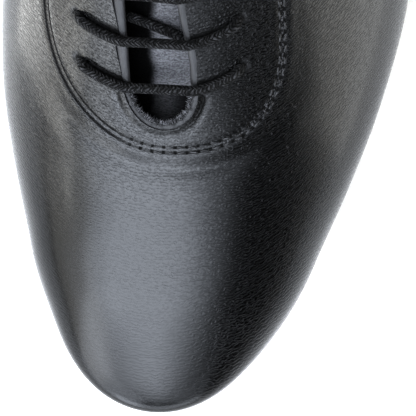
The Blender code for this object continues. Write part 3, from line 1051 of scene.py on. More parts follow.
class GrowthTree:
    """A Geometry Nodes tree with named sizes, run once to give a plain mesh."""

    def __init__(self, name: str) -> None:
        """Starts an empty tree with its geometry input and output.

        Args:
            name: The tree's name.
        """
        self.tree = bpy.data.node_groups.new(name, "GeometryNodeTree")
        self.tree.is_modifier = True
        self.bench = NodeBench(self.tree)
        self.sizes: dict[str, float] = {}
        self.tree.interface.new_socket("Geometry", in_out="INPUT", socket_type="NodeSocketGeometry")
        self.tree.interface.new_socket("Geometry", in_out="OUTPUT", socket_type="NodeSocketGeometry")
        self.input = self.tree.nodes.new("NodeGroupInput")
        self.output = self.tree.nodes.new("NodeGroupOutput")

    def size(self, name: str, value: float) -> bpy.types.NodeSocket:
        """A named input of the tree.

        Args:
            name: Its name.
            value: What the piece sets it to.

        Returns:
            The socket that gives it.
        """
        item = self.tree.interface.new_socket(name, in_out="INPUT", socket_type="NodeSocketFloat")
        self.sizes[item.identifier] = value
        return self.input.outputs[name]

    def guide(self) -> bpy.types.Node:
        """The lines that the tree is run on, as curves."""
        return self.bench.node("GeometryNodeMeshToCurve", None, {"Mesh": self.input.outputs["Geometry"]})

    def store(self, geometry: Any, name: str, kind: str, value: Any) -> bpy.types.Node:
        """Keeps a value on each point, by name."""
        inputs = {"Geometry": geometry, "Name": name, "Value": value}
        return self.bench.node("GeometryNodeStoreNamedAttribute", {"data_type": kind, "domain": "POINT"}, inputs)

    def random(self, kind: str, least: Any, most: Any, seed: int) -> bpy.types.Node:
        """A random number or vector for each point."""
        inputs = {"Min": least, "Max": most, "Seed": seed}
        return self.bench.node("FunctionNodeRandomValue", {"data_type": kind}, inputs)

    def scatter(self, points: Any, thing: Any, size: Sequence[Any], wobble: tuple[float, float], way: Any,
                stray: float, seed: int) -> bpy.types.Node:
        """Stands a thing on each point, each a little different.

        Args:
            points: The points.
            thing: What stands there, of size 1.
            size: Its three sizes.
            wobble: Least and most that its size is multiplied by.
            way: The direction of its long axis.
            stray: How far that direction strays.
            seed: The seed of its differences.

        Returns:
            The instances.
        """
        bench = self.bench
        inputs = {"Vector": bench.vector(*size), "Scale": self.random("FLOAT", *wobble, seed)}
        scaled = bench.node("ShaderNodeVectorMath", {"operation": "SCALE"}, inputs)
        lean = bench.node("ShaderNodeVectorMath", {"operation": "ADD"})
        strays = self.random("FLOAT_VECTOR", (-stray,) * 3, (stray,) * 3, seed + 1)
        for socket, value in zip(lean.inputs, (way, strays)):
            bench.feed(socket, value)
        turned = bench.node("FunctionNodeAlignRotationToVector", {"axis": "Z"}, {"Vector": lean})
        inputs = {"Points": points, "Instance": thing, "Rotation": turned, "Scale": scaled}
        return bench.node("GeometryNodeInstanceOnPoints", None, inputs)

    def finish(self, geometry: Any, material: bpy.types.Material) -> None:
        """Ends the tree: instances made real, shaded smooth, with their material.

        Args:
            geometry: What the tree has made.
            material: Its material.
        """
        real = self.bench.node("GeometryNodeRealizeInstances", None, {"Geometry": geometry})
        smooth = self.bench.node("GeometryNodeSetShadeSmooth", None, {"Geometry": real})
        dressed = self.bench.node("GeometryNodeSetMaterial", None, {"Geometry": smooth, "Material": material})
        self.bench.feed(self.output.inputs["Geometry"], dressed)

    def grow(self, name: str, lines: Sequence[np.ndarray],
             marks: dict[str, Sequence[np.ndarray]] | None = None) -> bpy.types.Object:
        """Runs the tree on lines of points.

        Args:
            name: The piece's name.
            lines: Lines of points in metres.
            marks: Numbers or vectors that the points carry, by name, line by line.

        Returns:
            The piece, a plain mesh.
        """
        edges, count = [], 0
        for line in lines:
            edges += [(count + step, count + step + 1) for step in range(len(line) - 1)]
            count += len(line)
        guide = bpy.data.meshes.new(name + "_guide")
        guide.from_pydata(np.vstack(lines).tolist(), edges, [])
        for mark, values in (marks or {}).items():
            plain = values[0].ndim == 1
            kept = guide.attributes.new(mark, "FLOAT" if plain else "FLOAT_VECTOR", "POINT")
            kept.data.foreach_set("value" if plain else "vector", np.concatenate(values).astype(np.float32).ravel())
        made = bpy.data.objects.new(name, guide)
        bpy.context.scene.collection.objects.link(made)
        grown = made.modifiers.new("grown", "NODES")
        grown.node_group = self.tree
        for identifier, value in self.sizes.items():
            grown[identifier] = value
        bpy.context.view_layer.update()
        graph = bpy.context.evaluated_depsgraph_get()
        mesh = bpy.data.meshes.new_from_object(made.evaluated_get(graph))
        made.modifiers.remove(grown)
        made.data = mesh
        mesh.name = name
        bpy.data.meshes.remove(guide)
        return made


@dataclass
class Pattern:
    """The upper's cut: its throat, collar, eyelets and the seam round the facings."""

    last: Last
    throat_front: float = 68.0
    throat_round: float = 8.0
    throat_half: float = 7.8
    throat_flare: float = 1.2
    lateral_lean: float = 2.8
    lean_span: tuple[float, float] = (80.0, 97.0)
    collar_front: float = 133.0
    collar_dip_at: float = 205.0
    collar_dip: tuple[float, float] = (84.0, 81.0)
    collar_back: float = 100.0
    corner_round: float = 0.05
    eyelet_rows: int = 5
    eyelet_first: float = 83.2
    eyelet_pitch: float = 10.4
    eyelet_out: float = 20.6
    seam_front: float = 61.5
    seam_out: tuple[float, float] = (29.0, 30.6)
    seam_reach: tuple[float, float] = (36.0, 30.0)
    seam_power: tuple[float, float] = (2.0, 2.2)
    close_to: float = 142.0
    bar_bow: float = 7.8
    bar_power: float = 2.3

    def pick(self, pair: tuple[float, float], side: Side) -> float:
        """The medial or lateral one of two sizes."""
        return pair[0] if side is Side.MEDIAL else pair[1]

    def throat(self, station: np.ndarray, side: Side, setback: np.ndarray | float = 0.0) -> np.ndarray:
        """Half-width of the opening between the facings.

        Args:
            station: Distances from the toe.
            side: Which half.
            setback: How far back from the edge.

        Returns:
            Distances from the ridge.
        """
        flare = self.throat_flare * smooth_step(self.throat_front, self.collar_front, station)
        lean = self.lateral_lean * smooth_step(*self.lean_span, station) if side is Side.LATERAL else 0.0
        front = end_round(station - self.throat_front + setback, self.throat_round + np.max(setback))
        return (self.throat_half + flare - lean + setback) * front

    def collar(self, station: np.ndarray, side: Side) -> np.ndarray:
        """Height of the collar line, from the facing's corner under the ankle to the heel's back.

        Args:
            station: Distances from the toe.
            side: Which half.

        Returns:
            Heights above the floor.
        """
        dip = self.pick(self.collar_dip, side)
        corner = np.array([self.collar_front])
        half = self.throat(corner, side)
        front = self.last.point(corner, side, self.last.up_at_width(corner, side, half))[0, 2]
        ahead = np.clip((self.collar_dip_at - station) / (self.collar_dip_at - self.collar_front), 0.0, None)
        behind = np.clip((station - self.collar_dip_at) / (self.last.length - self.collar_dip_at), 0.0, 1.0)
        rise = (self.collar_back - dip) * behind**2 * (2.0 - behind)
        return dip + (front - dip) * ahead**2 + rise

    def edge_up(self, station: np.ndarray, side: Side, setback: np.ndarray | float = 0.0) -> np.ndarray:
        """Where the wall ends on each section: at the ridge, the throat or the collar.

        Args:
            station: Distances from the toe.
            side: Which half.
            setback: How far back from the edge.

        Returns:
            The up of the edge.
        """
        station = np.asarray(station, float)
        throat = self.last.up_at_width(station, side, self.throat(station, side, setback))
        collar = self.last.up_at_height(station, side, self.collar(station, side) - setback)
        overlap = np.maximum(self.corner_round - np.abs(throat - collar), 0.0)
        both = np.minimum(throat, collar) - overlap**2 / (4.0 * self.corner_round)
        made = np.where(station < self.collar_front - self.throat_round, throat, both)
        made = np.where(station > self.collar_dip_at, collar, made)
        return np.where(station <= self.throat_front - setback, 1.0, made)

    def eyelet(self, row: int) -> float:
        """Station of a row of eyelets, the first at the throat."""
        return self.eyelet_first + self.eyelet_pitch * (row - 1)

    def bar_station(self, row: int, out: np.ndarray | float) -> np.ndarray | float:
        """Station of a lace bar this far from the ridge: bars bow towards the toe."""
        return self.eyelet(row) - self.bar_bow * (1.0 - (np.abs(out) / self.eyelet_out) ** self.bar_power)

    def eyelet_points(self) -> np.ndarray:
        """Middles of all the eyelets on the last.

        Returns:
            Points, row by row, the medial one first.
        """
        made = []
        for row in range(1, self.eyelet_rows + 1):
            for side in Side:
                up = self.last.up_at_width(self.eyelet(row), side, self.eyelet_out)
                made.append(self.last.point(self.eyelet(row), side, up))
        return np.array(made)

    def throat_line(self, pitch: float = 0.4) -> np.ndarray:
        """The opening's edge round its front, from one side to the other.

        Args:
            pitch: About how far apart its points lie.

        Returns:
            Its points, medial side first.
        """
        stations = rounding(self.throat_front, 84.0, 80)
        ends = {side: self.last.point(stations, side, self.edge_up(stations, side)) for side in Side}
        return even_line(np.vstack([ends[Side.MEDIAL][:0:-1], ends[Side.LATERAL]]), pitch)

    def seam(self, station: np.ndarray, side: Side) -> np.ndarray:
        """Distance of the facing seam from the ridge."""
        reach, power = self.pick(self.seam_reach, side), self.pick(self.seam_power, side)
        return self.pick(self.seam_out, side) * end_round(station - self.seam_front, reach, power)

    def seam_line(self, pitch: float = 0.4) -> tuple[np.ndarray, np.ndarray, np.ndarray]:
        """The facing seam from the medial collar round the throat to the lateral collar.

        Args:
            pitch: About how far apart its points lie.

        Returns:
            Its points, the surface's outward directions there, and the directions away from the throat.
        """
        halves = {}
        for side in Side:
            stations = np.concatenate([rounding(self.seam_front, 90.0, 160), spread(90.0, 175.0, 0.5)])
            up = self.last.up_at_width(stations, side, self.seam(stations, side))
            inside = up < self.edge_up(stations, side, 1.0) + 0.01
            stations, up = stations[inside], up[inside]
            halves[side] = (self.last.point(stations, side, up), self.last.normal(stations, side, up))
        points = np.vstack([halves[Side.MEDIAL][0][:0:-1], halves[Side.LATERAL][0]])
        normals = np.vstack([halves[Side.MEDIAL][1][:0:-1], halves[Side.LATERAL][1]])
        both = even_line(points, pitch)
        facing = unit(normals[nearest(both, points)])
        along = unit(np.gradient(both, axis=0))
        away = unit(np.cross(facing, along))
        away *= np.sign(np.sum(away[len(away) // 2] * np.array([0.0, -1.0, 0.0])))
        return both, facing, away


def along_line(points: np.ndarray, line: np.ndarray) -> tuple[np.ndarray, np.ndarray]:
    """Where points lie by a line whose points are evenly apart.

    Args:
        points: The points.
        line: The line's points, close together.

    Returns:
        Distances from the line, and lengths run along it.
    """
    index = nearest(points, line)
    pitch = float(np.linalg.norm(line[1] - line[0]))
    gaps, runs = [], []
    for step in (-1, 0):
        near = np.clip(index + step, 0, len(line) - 2)
        way = line[near + 1] - line[near]
        share = np.sum((points - line[near]) * way, 1) / np.maximum(np.sum(way * way, 1), 1e-12)
        share = np.clip(share, 0.0, 1.0)
        gaps.append(np.linalg.norm(points - line[near] - way * share[:, None], axis=1))
        runs.append((near + share) * pitch)
    closer = gaps[0] < gaps[1]
    return np.where(closer, *gaps), np.where(closer, *runs)


@dataclass
class Upper:
    """The leather upper with its lining, as one closed wall."""

    last: Last
    pattern: Pattern
    wall: float = 1.5
    setback: float = 1.4
    scallop: tuple[float, float] = (1.5, 0.6)
    low_columns: int = 14
    top_columns: int = 84
    lining_columns: int = 16
    seam_valley: float = 0.18
    seam_puff: float = 0.18
    eyelet_depth: float = 0.3
    vamp_folds: tuple[Fold, ...] = (Fold(-0.28, 4.0, 2.0), Fold(0.08, 10.0, 3.0))
    rim_folds: tuple[Fold, ...] = (Fold(0.22, 1.5, 0.9), Fold(-0.16, 3.2, 0.8))
    vamp_span: tuple[float, float] = (76.0, 66.0)
    rim_span: tuple[float, float] = (75.0, 79.0)
    inmost: float = -30.0
    far: float = 40.0
    off_rim: float = 20.0
    # How far the painted shadow behind a lace bar reaches, medial and lateral.
    lace_shadow_reach: tuple[float, float] = (2.3, 1.5)

    def stations(self) -> np.ndarray:
        """Stations of the rows, close together at the toe, the throat's front and the heel.

        Returns:
            Distances from the toe.
        """
        last, front, close = self.last, self.pattern.throat_front - self.setback, self.pattern.close_to
        rows = [rounding(0.0, last.toe_reach, 64), spread(last.toe_reach, front, 0.7)]
        rows += [rounding(front, front + 9.0, 20)[1:], spread(front + 9.0, close, 0.75)]
        rows += [spread(close, last.length - last.heel_reach, 1.6)]
        rows += [closing(last.length - last.heel_reach, last.length, 36)]
        return np.concatenate(rows)

    def edge_setback(self, stations: np.ndarray, side: Side) -> np.ndarray:
        """How far the leather's cut edge stays back from the rim: more behind each lace than in front of it.

        Args:
            stations: Distances from the toe.
            side: Which half.

        Returns:
            A distance for each station.
        """
        share = np.mod((stations - self.pattern.eyelet_first + 7.0) / self.pattern.eyelet_pitch, 1.0)
        saw = np.minimum(share / 0.88, (1.0 - share) / 0.12)
        held = smooth_step(76.0, 78.0, stations) * smooth_step(140.0, 125.0, stations)
        return self.setback + (self.pattern.pick(self.scallop, side) * saw - 0.3) * held

    def seam_relief(self, gap: np.ndarray) -> np.ndarray:
        """Height of the leather by its distance from the seam, more than 0 on the vamp's side.

        Args:
            gap: Signed distances from the seam.

        Returns:
            Heights off the last's surface.
        """
        middle = sum(SEAM_ROWS) / 2.0
        sewn = sum(0.08 * bell(gap - row, 0.4) for row in SEAM_ROWS)
        puff = smooth_step(-1.0, 0.6, gap) * bell(np.maximum(gap - 0.6, 0.0), 2.4)
        return self.seam_puff * puff - self.seam_valley * bell(gap - middle, 0.9) - sewn

    def relief(self, station: np.ndarray, gap: np.ndarray, hole: np.ndarray, rim: np.ndarray) -> np.ndarray:
        """Creases, folds and dents that stand off the last's smooth surface.

        Args:
            station: Distances of the points from the toe.
            gap: Signed distances from the seam.
            hole: Distances from the nearest eyelet.
            rim: Distances from the throat's front rim.

        Returns:
            Heights along the surface's outward directions.
        """
        ahead = smooth_step(*self.vamp_span, station)
        made = self.seam_relief(gap) + ahead * sum(fold.read(gap) for fold in self.vamp_folds)
        made = made + sum(fold.read(rim) for fold in self.rim_folds)
        return made - self.eyelet_depth * smooth_step(1.7, 0.4, hole)

    def lace_shadow(self, stations: np.ndarray, side: Side, out: np.ndarray) -> np.ndarray:
        """How much painted shadow the facing gets behind a lace bar, 1 close behind it where the bar lifts off.

        Args:
            stations: Distances from the toe, one for each row of points.
            side: Which half.
            out: Distances from the ridge.

        Returns:
            A share for each point.
        """
        pattern = self.pattern
        out = np.clip(out, 0.0, None)
        lifts = smooth_step(pattern.eyelet_out - 1.0, pattern.throat_half + 1.0, out)
        reach = LACE_RADIUS + pattern.pick(self.lace_shadow_reach, side) * lifts
        made = np.zeros_like(out)
        for row in range(1, pattern.eyelet_rows + 1):
            behind = stations[:, None] - pattern.bar_station(row, out)
            near = np.clip((reach - behind) / (reach - LACE_RADIUS + 0.6), 0.0, 1.0)
            made = np.maximum(made, near * smooth_step(-2.0, -1.0, behind) * smooth_step(0.0, 0.25, lifts))
        return made

    def build(self, finish: bpy.types.Material, lining: bpy.types.Material) -> bpy.types.Object:
        """Makes the upper.

        Args:
            finish: The outside's leather.
            lining: The inside.

        Returns:
            The piece.
        """
        last, pattern = self.last, self.pattern
        stations = self.stations()
        line, _, _ = pattern.seam_line()
        eyelets = pattern.eyelet_points()
        front = pattern.throat_line()
        draft = Draft("upper_leather")
        grids = {}
        for side in Side:
            edge = pattern.edge_up(stations, side, self.edge_setback(stations, side))
            low = np.linspace(-1.0, 0.0, self.low_columns + 1)[:-1]
            low = np.broadcast_to(low, (len(stations), self.low_columns))
            top = edge[:, None] * np.linspace(0.0, 1.0, self.top_columns + 1)
            grids[side] = np.hstack([low, top])
        closed = stations <= pattern.throat_front - self.setback
        normals = {s: last.normal(stations[:, None], s, grids[s]) for s in Side}
        shared = unit(normals[Side.MEDIAL][:, -1] + normals[Side.LATERAL][:, -1])
        for side in Side:
            ups, facing = grids[side], normals[side]
            facing[closed, -1] = shared[closed]
            skin = last.point(stations[:, None], side, ups)
            flat = skin.reshape(-1, 3)
            half = last.slice(stations, side)
            out = side.value * skin[..., 0] - half.ridge[:, None]
            inside = (out < pattern.seam(stations, side)[:, None]) & (stations > pattern.seam_front)[:, None]
            gap, run = (part.reshape(out.shape) for part in along_line(flat, line))
            gap = gap * np.where(inside, -1.0, 1.0)
            gap = np.where(ups < 0.0, self.far, np.clip(gap, self.inmost, self.far))
            hole = np.min(np.linalg.norm(flat[:, None] - eyelets[None], axis=2), 1).reshape(out.shape)
            behind = self.off_rim * smooth_step(*self.rim_span, stations)[:, None]
            rim = np.minimum(along_line(flat, front)[0].reshape(out.shape) + behind, self.off_rim)
            lift = self.relief(stations[:, None], gap, hole, rim)
            outside = skin + facing * lift[..., None]
            picks = np.round(np.linspace(0, ups.shape[1] - 1, self.lining_columns)).astype(int)
            inner = skin[:, picks] - facing[:, picks] * self.wall
            loop = np.concatenate([outside, inner[:, ::-1]], 1)
            count = ups.shape[1]
            keep = np.ones((len(stations) - 1, loop.shape[1]), bool)
            keep[closed[:-1] & closed[1:], count - 1] = False
            paint = np.zeros(keep.shape, int)
            paint[:, count:] = 1
            far = np.full(inner.shape[:2], self.far)
            marks = {"seam": gap, "run": run, "eyelet": np.minimum(hole, self.off_rim), "rim": rim}
            marks = {name: np.hstack([part, far]) for name, part in marks.items()}
            # The painted shadow behind the lace bars.
            marks["lace_shadow"] = np.hstack([self.lace_shadow(stations, side, out), far * 0.0])
            draft.add(loop, True, side is Side.MEDIAL, keep, paint, marks)
        return settle(draft.piece(last, [finish, lining]), Slot.UPPER, "upper")


@dataclass
class EdgeRoll:
    """The lining leather rolled over the throat's and the collar's edge."""

    last: Last
    pattern: Pattern
    pitch: float = 0.7
    half_width: float = 1.65
    half_thickness: float = 0.7
    sink: float = 0.95
    setback: float = 1.35
    front_part_to: float = 78.0
    waves: tuple[tuple[float, float, float], ...] = ((0.16, 2.3, 0.0), (0.13, 3.7, 1.0), (0.1, 1.1, 2.0))
    sides: int = 16

    def rim(self) -> tuple[np.ndarray, np.ndarray]:
        """The rim from the heel's back along the medial side, round the throat and back.

        Returns:
            Its points on the last, and the surface's outward directions there.
        """
        last, front, close = self.last, self.pattern.throat_front, self.pattern.close_to
        rows = [rounding(front, front + 8.0, 40), spread(front + 8.0, close, 0.6)]
        rows += [spread(close, last.length - last.heel_reach, 1.0)]
        rows += [closing(last.length - last.heel_reach, last.length, 50)]
        stations = np.concatenate(rows)
        ends = {}
        for side in Side:
            up = self.pattern.edge_up(stations, side)
            ends[side] = (last.point(stations, side, up), last.normal(stations, side, up))
        points = np.vstack([ends[Side.MEDIAL][0][::-1], ends[Side.LATERAL][0][1:-1]])
        facing = np.vstack([ends[Side.MEDIAL][1][::-1], ends[Side.LATERAL][1][1:-1]])
        both = np.hstack([points, facing])
        line = np.vstack([both, both[:1]])
        run = run_lengths(line)
        made = read_line(np.linspace(0.0, run[-1], int(run[-1] / self.pitch) + 1)[:-1], run, line)
        return made[:, :3], unit(made[:, 3:])

    def frames(self) -> tuple[np.ndarray, np.ndarray, np.ndarray]:
        """The rim with its directions.

        Returns:
            Points, outward directions, and directions into the opening.
        """
        points, facing = self.rim()
        along = unit(np.roll(points, -1, 0) - np.roll(points, 1, 0))
        inward = unit(np.cross(along, facing))
        front = int(np.argmin(points[:, 1]))
        inward *= np.sign(inward[front, 1])
        return points, facing, inward

    def build(self, finish: bpy.types.Material) -> bpy.types.Object:
        """Makes the roll.

        Args:
            finish: Its finish.

        Returns:
            The piece.
        """
        points, facing, inward = self.frames()
        turn = np.linspace(0.0, 2.0 * math.pi, self.sides, endpoint=False)
        run = self.pitch * np.arange(len(points))
        raw = smooth_step(self.front_part_to, self.front_part_to - 3.0, points[:, 1])
        uneven = raw * sum(height * np.sin(run * rate + start) for height, rate, start in self.waves)
        deep = self.sink + 0.25 * raw + 0.6 * uneven
        middle = points - inward * (self.setback + uneven)[:, None] - facing * deep[:, None]
        ring = middle[:, None] + inward[:, None] * (np.cos(turn) * self.half_width)[None, :, None]
        ring = ring + facing[:, None] * (np.sin(turn) * self.half_thickness)[None, :, None]
        ring = np.concatenate([ring, ring[:1]], 0)
        draft = Draft("rolled_edge")
        draft.add(ring, True, False)
        return settle(draft.piece(self.last, [finish], 180.0), Slot.UPPER)


@dataclass
class SeamStitching:
    """Two rows of stitches that hold the vamp over the facings."""

    last: Last
    pattern: Pattern
    upper: Upper
    steps: int = 8
    length: float = 2.2
    radius: float = 0.25
    sink: float = 0.45
    wobble: tuple[float, float] = (0.85, 1.2)
    slant: float = 0.26
    seed: int = 7

    def tree(self, finish: bpy.types.Material) -> GrowthTree:
        """The nodes that lay a stitch on each point of a line.

        Args:
            finish: Its finish.

        Returns:
            The tree, ready to run.
        """
        grown = GrowthTree("stitch_rows")
        bench = grown.bench
        half = Value(bench, grown.size("Length", self.length * MM)) * 0.5
        radius = grown.size("Radius", self.radius * MM)
        ball = bench.node("GeometryNodeMeshUVSphere", None, {"Segments": 8, "Rings": 7, "Radius": 1.0})
        tangent = bench.node("GeometryNodeInputTangent")
        size = (radius, radius, half)
        stitches = grown.scatter(grown.guide(), ball, size, self.wobble, tangent, self.slant, self.seed)
        grown.finish(stitches, finish)
        return grown

    def build(self, finish: bpy.types.Material) -> bpy.types.Object:
        """Makes both rows.

        Args:
            finish: Its finish.

        Returns:
            The piece.
        """
        points, facing, away = self.pattern.seam_line(STITCH_PITCH / self.steps)
        run = np.linalg.norm(points[1] - points[0]) * np.arange(len(points))
        marks = np.arange(STITCH_PITCH / 2.0, run[-1], STITCH_PITCH)
        lines = []
        sunk = self.sink * (1.0 - smooth_step(-12.0, 6.0, points[:, 0]))
        for row in SEAM_ROWS:
            height = float(self.upper.seam_relief(np.array(row))) - sunk
            line = points + away * row + facing * height[:, None]
            lines.append(self.last.to_frame(read_line(marks, run, line)))
        return settle(self.tree(finish).grow("seam_stitches", lines), Slot.UPPER)


@dataclass
class Tongue:
    """The tongue under the facings."""

    last: Last
    wall: float = 1.8
    front: float = 54.0
    back: float = 147.0
    half: float = 21.0
    flare: float = 4.0
    thickness: float = 1.8
    seat: float = 0.4
    drop: float = 4.0
    sag: float = 3.5
    sag_at: float = 71.0
    sag_reach: float = 9.0
    # Where the painted shadow under the throat's front ends.
    front_part_to: float = 73.8
    fold_at: float = -3.6
    fold: float = 1.4
    drop_from: float = 58.0
    drop_to: float = 80.0
    round_from: float = 135.0
    corner: float = 12.0
    end_share: float = 0.6
    puff: float = 0.7
    bars_from: float = 76.2
    bar_pitch: float = 10.4

    def build(self, finish: bpy.types.Material, lining: bpy.types.Material) -> bpy.types.Object:
        """Makes the tongue, rounded at its edges.

        Args:
            finish: Its upper face and edges.
            lining: Its underside.

        Returns:
            The piece.
        """
        last = self.last
        rows = [rounding(self.front, self.front + 4.0, 6), spread(self.front + 4.0, self.round_from, 1.0)]
        stations = np.concatenate(rows + [closing(self.round_from, self.back, 14)])
        across = np.sin(np.linspace(-math.pi / 2.0, math.pi / 2.0, 101))
        half = self.half + self.flare * smooth_step(self.front, self.back, stations)
        ends = self.end_share + (1.0 - self.end_share) * end_round(self.back - stations, self.corner)
        out = np.abs(across)[None] * (half * ends)[:, None]
        drop = self.drop * smooth_step(self.drop_from, self.drop_to, stations)
        sag = self.sag * bell(stations - self.sag_at, self.sag_reach)[:, None] * bell(out, 12.0)
        place = across[None] * (half * ends)[:, None]
        folded = smooth_step(self.fold_at + 0.6, self.fold_at - 2.4, place)
        folded = folded * smooth_step(self.fold_at - 9.0, self.fold_at - 5.0, place)
        share = (stations - self.bars_from) / self.bar_pitch
        puff = self.puff * 0.5 * (1.0 - np.cos(2.0 * math.pi * share))
        puff = puff * smooth_step(self.bars_from - 2.0, self.bars_from + 2.0, stations)
        sag = sag - puff[:, None] * bell(out, 6.0)
        depth = (self.wall + self.seat + drop)[:, None] + sag
        depth = depth + self.fold * folded * smooth_step(66.0, 74.0, stations)[:, None]
        full = np.minimum(stations - self.front, self.back - stations)[:, None]
        rim = np.minimum((half * ends)[:, None] - out, full)
        thick = self.thickness * (0.02 + 0.98 * end_round(rim, 1.3))
        face = np.zeros((*out.shape, 3))
        facing = np.zeros_like(face)
        for side in Side:
            mine = across * side.value >= 0.0
            up = last.up_at_width(stations[:, None], side, out[:, mine])
            face[:, mine] = last.point(stations[:, None], side, up)
            facing[:, mine] = last.normal(stations[:, None], side, up)
        middle = face - facing * (depth + self.thickness / 2.0)[..., None]
        above = middle + facing * (thick / 2.0)[..., None]
        below = middle - facing * (thick / 2.0)[..., None]
        # The deep mark: painted shadow beside the fold under the medial facing and under the throat's front, a little
        # less in its middle, and plain black leather towards the far end.
        wander = self.fold_at + 0.5 * np.sin(stations * 0.9) + 1.6 * smooth_step(84.0, 95.0, stations)
        painted_front_shadow = smooth_step(self.front_part_to + 0.8, self.front_part_to - 0.8, stations)[:, None]
        painted_front_shadow = painted_front_shadow * (1.0 - 0.22 * bell(place, 4.0))
        deep = np.maximum(smooth_step(wander[:, None] + 2.2, wander[:, None] - 1.4, place), painted_front_shadow)
        deep = np.maximum(deep, 0.88 * smooth_step(94.0, 104.0, stations)[:, None])
        draft = Draft("tongue_leather")
        draft.add(above, False, False, None, 0, {"deep": deep})
        draft.add(below, False, True, None, 1, {"deep": deep})
        edges = [(row, row == 0) for row in (0, -1)]
        edges += [((slice(None), column), column == -1) for column in (0, -1)]
        for edge, turn in edges:
            shade = np.stack([deep[edge]] * 2)
            draft.add(np.stack([above[edge], below[edge]]), False, turn, None, 0, {"deep": shade})
        return settle(draft.piece(last, [finish, lining], 60.0), Slot.TONGUE, "tongue")


@dataclass
class Lacing:
    """One lace in straight bars through five pairs of eyelets, with one run that crosses inside the throat."""

    last: Last
    pattern: Pattern
    radius: float = LACE_RADIUS
    arch: float = 0.5
    lift: float = 0.25
    run_station: float = 88.5
    run_slant: float = 0.28
    run_depth: float = 4.0
    inside: float = 3.6
    bar_points: int = 45
    sides: int = 16

    def bar(self, row: int) -> np.ndarray:
        """Middle line of a bar from the medial eyelet to the lateral one, bowed towards the toe.

        Args:
            row: The pair of eyelets.

        Returns:
            Its points.
        """
        reach = self.pattern.eyelet_out
        front = np.array([self.pattern.bar_station(row, 0.0)])
        edges = {side: float(self.pattern.throat(front, side)[0]) for side in Side}
        outs = reach * np.linspace(-1.0, 1.0, self.bar_points)
        points, held = [], []
        for out in outs:
            side = side_of(out)
            station = self.pattern.bar_station(row, out)
            up = self.last.up_at_width(station, side, max(abs(out), edges[side]))
            rise = self.last.normal(station, side, up)
            rise[0] *= 1.0 - float(smooth_step(reach, edges[side], abs(out)))
            dive = float(smooth_step(reach - 2.4, reach + 0.3, abs(out)))
            lift = (self.radius + self.lift) * (1.0 - dive) - 2.0 * dive
            points.append(self.last.point(station, side, up) + unit(rise) * lift)
            held.append(abs(out) >= edges[side])
        made, rests = np.array(points), np.array(held)
        left, right = made[rests & (outs < 0.0)][-1], made[rests & (outs > 0.0)][0]
        share = ((outs[~rests] + edges[Side.MEDIAL]) / sum(edges.values()))[:, None]
        made[~rests] = left + (right - left) * share
        made[~rests, 2] += self.arch * (1.0 - (2.0 * share[:, 0] - 1.0) ** 2)
        return made

    def inner_run(self) -> np.ndarray:
        """The run that crosses inside the throat, from under the lateral facing to under the medial one.

        Returns:
            Its points.
        """
        made = []
        for out in (13.0, 9.0, 5.0, -5.0, -9.0, -13.0):
            side = side_of(out)
            station = self.run_station - self.run_slant * out
            up = self.last.up_at_width(station, side, abs(out))
            made.append(self.last.point(station, side, up) - self.last.normal(station, side, up) * self.run_depth)
        return np.array(made)

    def under(self, first: int, second: int, side: Side, out: float) -> np.ndarray:
        """Points of a run under the facing, between the eyelets of two rows.

        Args:
            first: The row that it leaves.
            second: The row that it goes to.
            side: Which facing.
            out: How far from the ridge it lies.

        Returns:
            Its points.
        """
        ends = self.pattern.eyelet(first), self.pattern.eyelet(second)
        stations = np.linspace(*ends, 2 + 3 * abs(second - first))[1:-1]
        up = self.last.up_at_width(stations, side, out)
        return self.last.point(stations, side, up) - self.last.normal(stations, side, up) * self.inside

    def path(self) -> np.ndarray:
        """The whole lace, from its hidden end at one top eyelet to the other end there.

        Returns:
            The points of its middle line.
        """
        out, top = self.pattern.eyelet_out, self.pattern.eyelet_rows
        legs = [self.under(top, 2, Side.LATERAL, out - 3.5), self.inner_run(), self.under(2, 1, Side.MEDIAL, out)]
        legs += [self.bar(1), self.under(1, 2, Side.LATERAL, out), self.bar(2)[::-1]]
        side = Side.MEDIAL
        for row in range(3, top + 1):
            legs += [self.under(row - 1, row, side, out), self.bar(row)[:: 1 if side is Side.MEDIAL else -1]]
            side = Side(-side.value)
        return smooth_line(np.vstack(legs), 4)

    def tree(self, finish: bpy.types.Material) -> GrowthTree:
        """The nodes that draw a round cord along a line.

        Args:
            finish: Its finish.

        Returns:
            The tree, ready to run.
        """
        grown = GrowthTree("lace_cord")
        bench = grown.bench
        radius = grown.size("Radius", self.radius * MM)
        inputs = {"Resolution": self.sides, "Radius": radius}
        circle = bench.node("GeometryNodeCurvePrimitiveCircle", {"mode": "RADIUS"}, inputs)
        run = bench.node("GeometryNodeSplineParameter").outputs["Length"]
        marked = grown.store(grown.guide(), "along", "FLOAT", run)
        ring = grown.store(circle, "round", "FLOAT_VECTOR", bench.node("GeometryNodeInputPosition"))
        slim = bench.node("GeometryNodeInputNamedAttribute", {"data_type": "FLOAT"}, {"Name": "slim"})
        drawn = bench.node("GeometryNodeSetCurveRadius", None, {"Curve": marked, "Radius": slim})
        tube = bench.node("GeometryNodeCurveToMesh", None, {"Curve": drawn, "Profile Curve": ring, "Fill Caps": True})
        grown.finish(tube, finish)
        return grown

    def build(self, finish: bpy.types.Material) -> bpy.types.Object:
        """Makes the lace.

        Args:
            finish: Its finish.

        Returns:
            The piece.
        """
        path = even_line(self.path(), 0.5)
        LOG.info("lace length %.0f mm", np.sum(np.linalg.norm(np.diff(path, axis=0), axis=1)))
        near = np.min(np.linalg.norm(path[:, None] - self.pattern.eyelet_points()[None], axis=2), 1)
        slim = 0.5 + 0.5 * smooth_step(0.5, 4.5, near)
        made = self.tree(finish).grow("lace", [self.last.to_frame(path)], {"slim": [slim]})
        bars = [f"lace_bar_{row}" for row in range(1, self.pattern.eyelet_rows + 1)]
        return settle(made, Slot.LACE, *bars, "lace_inner_run")


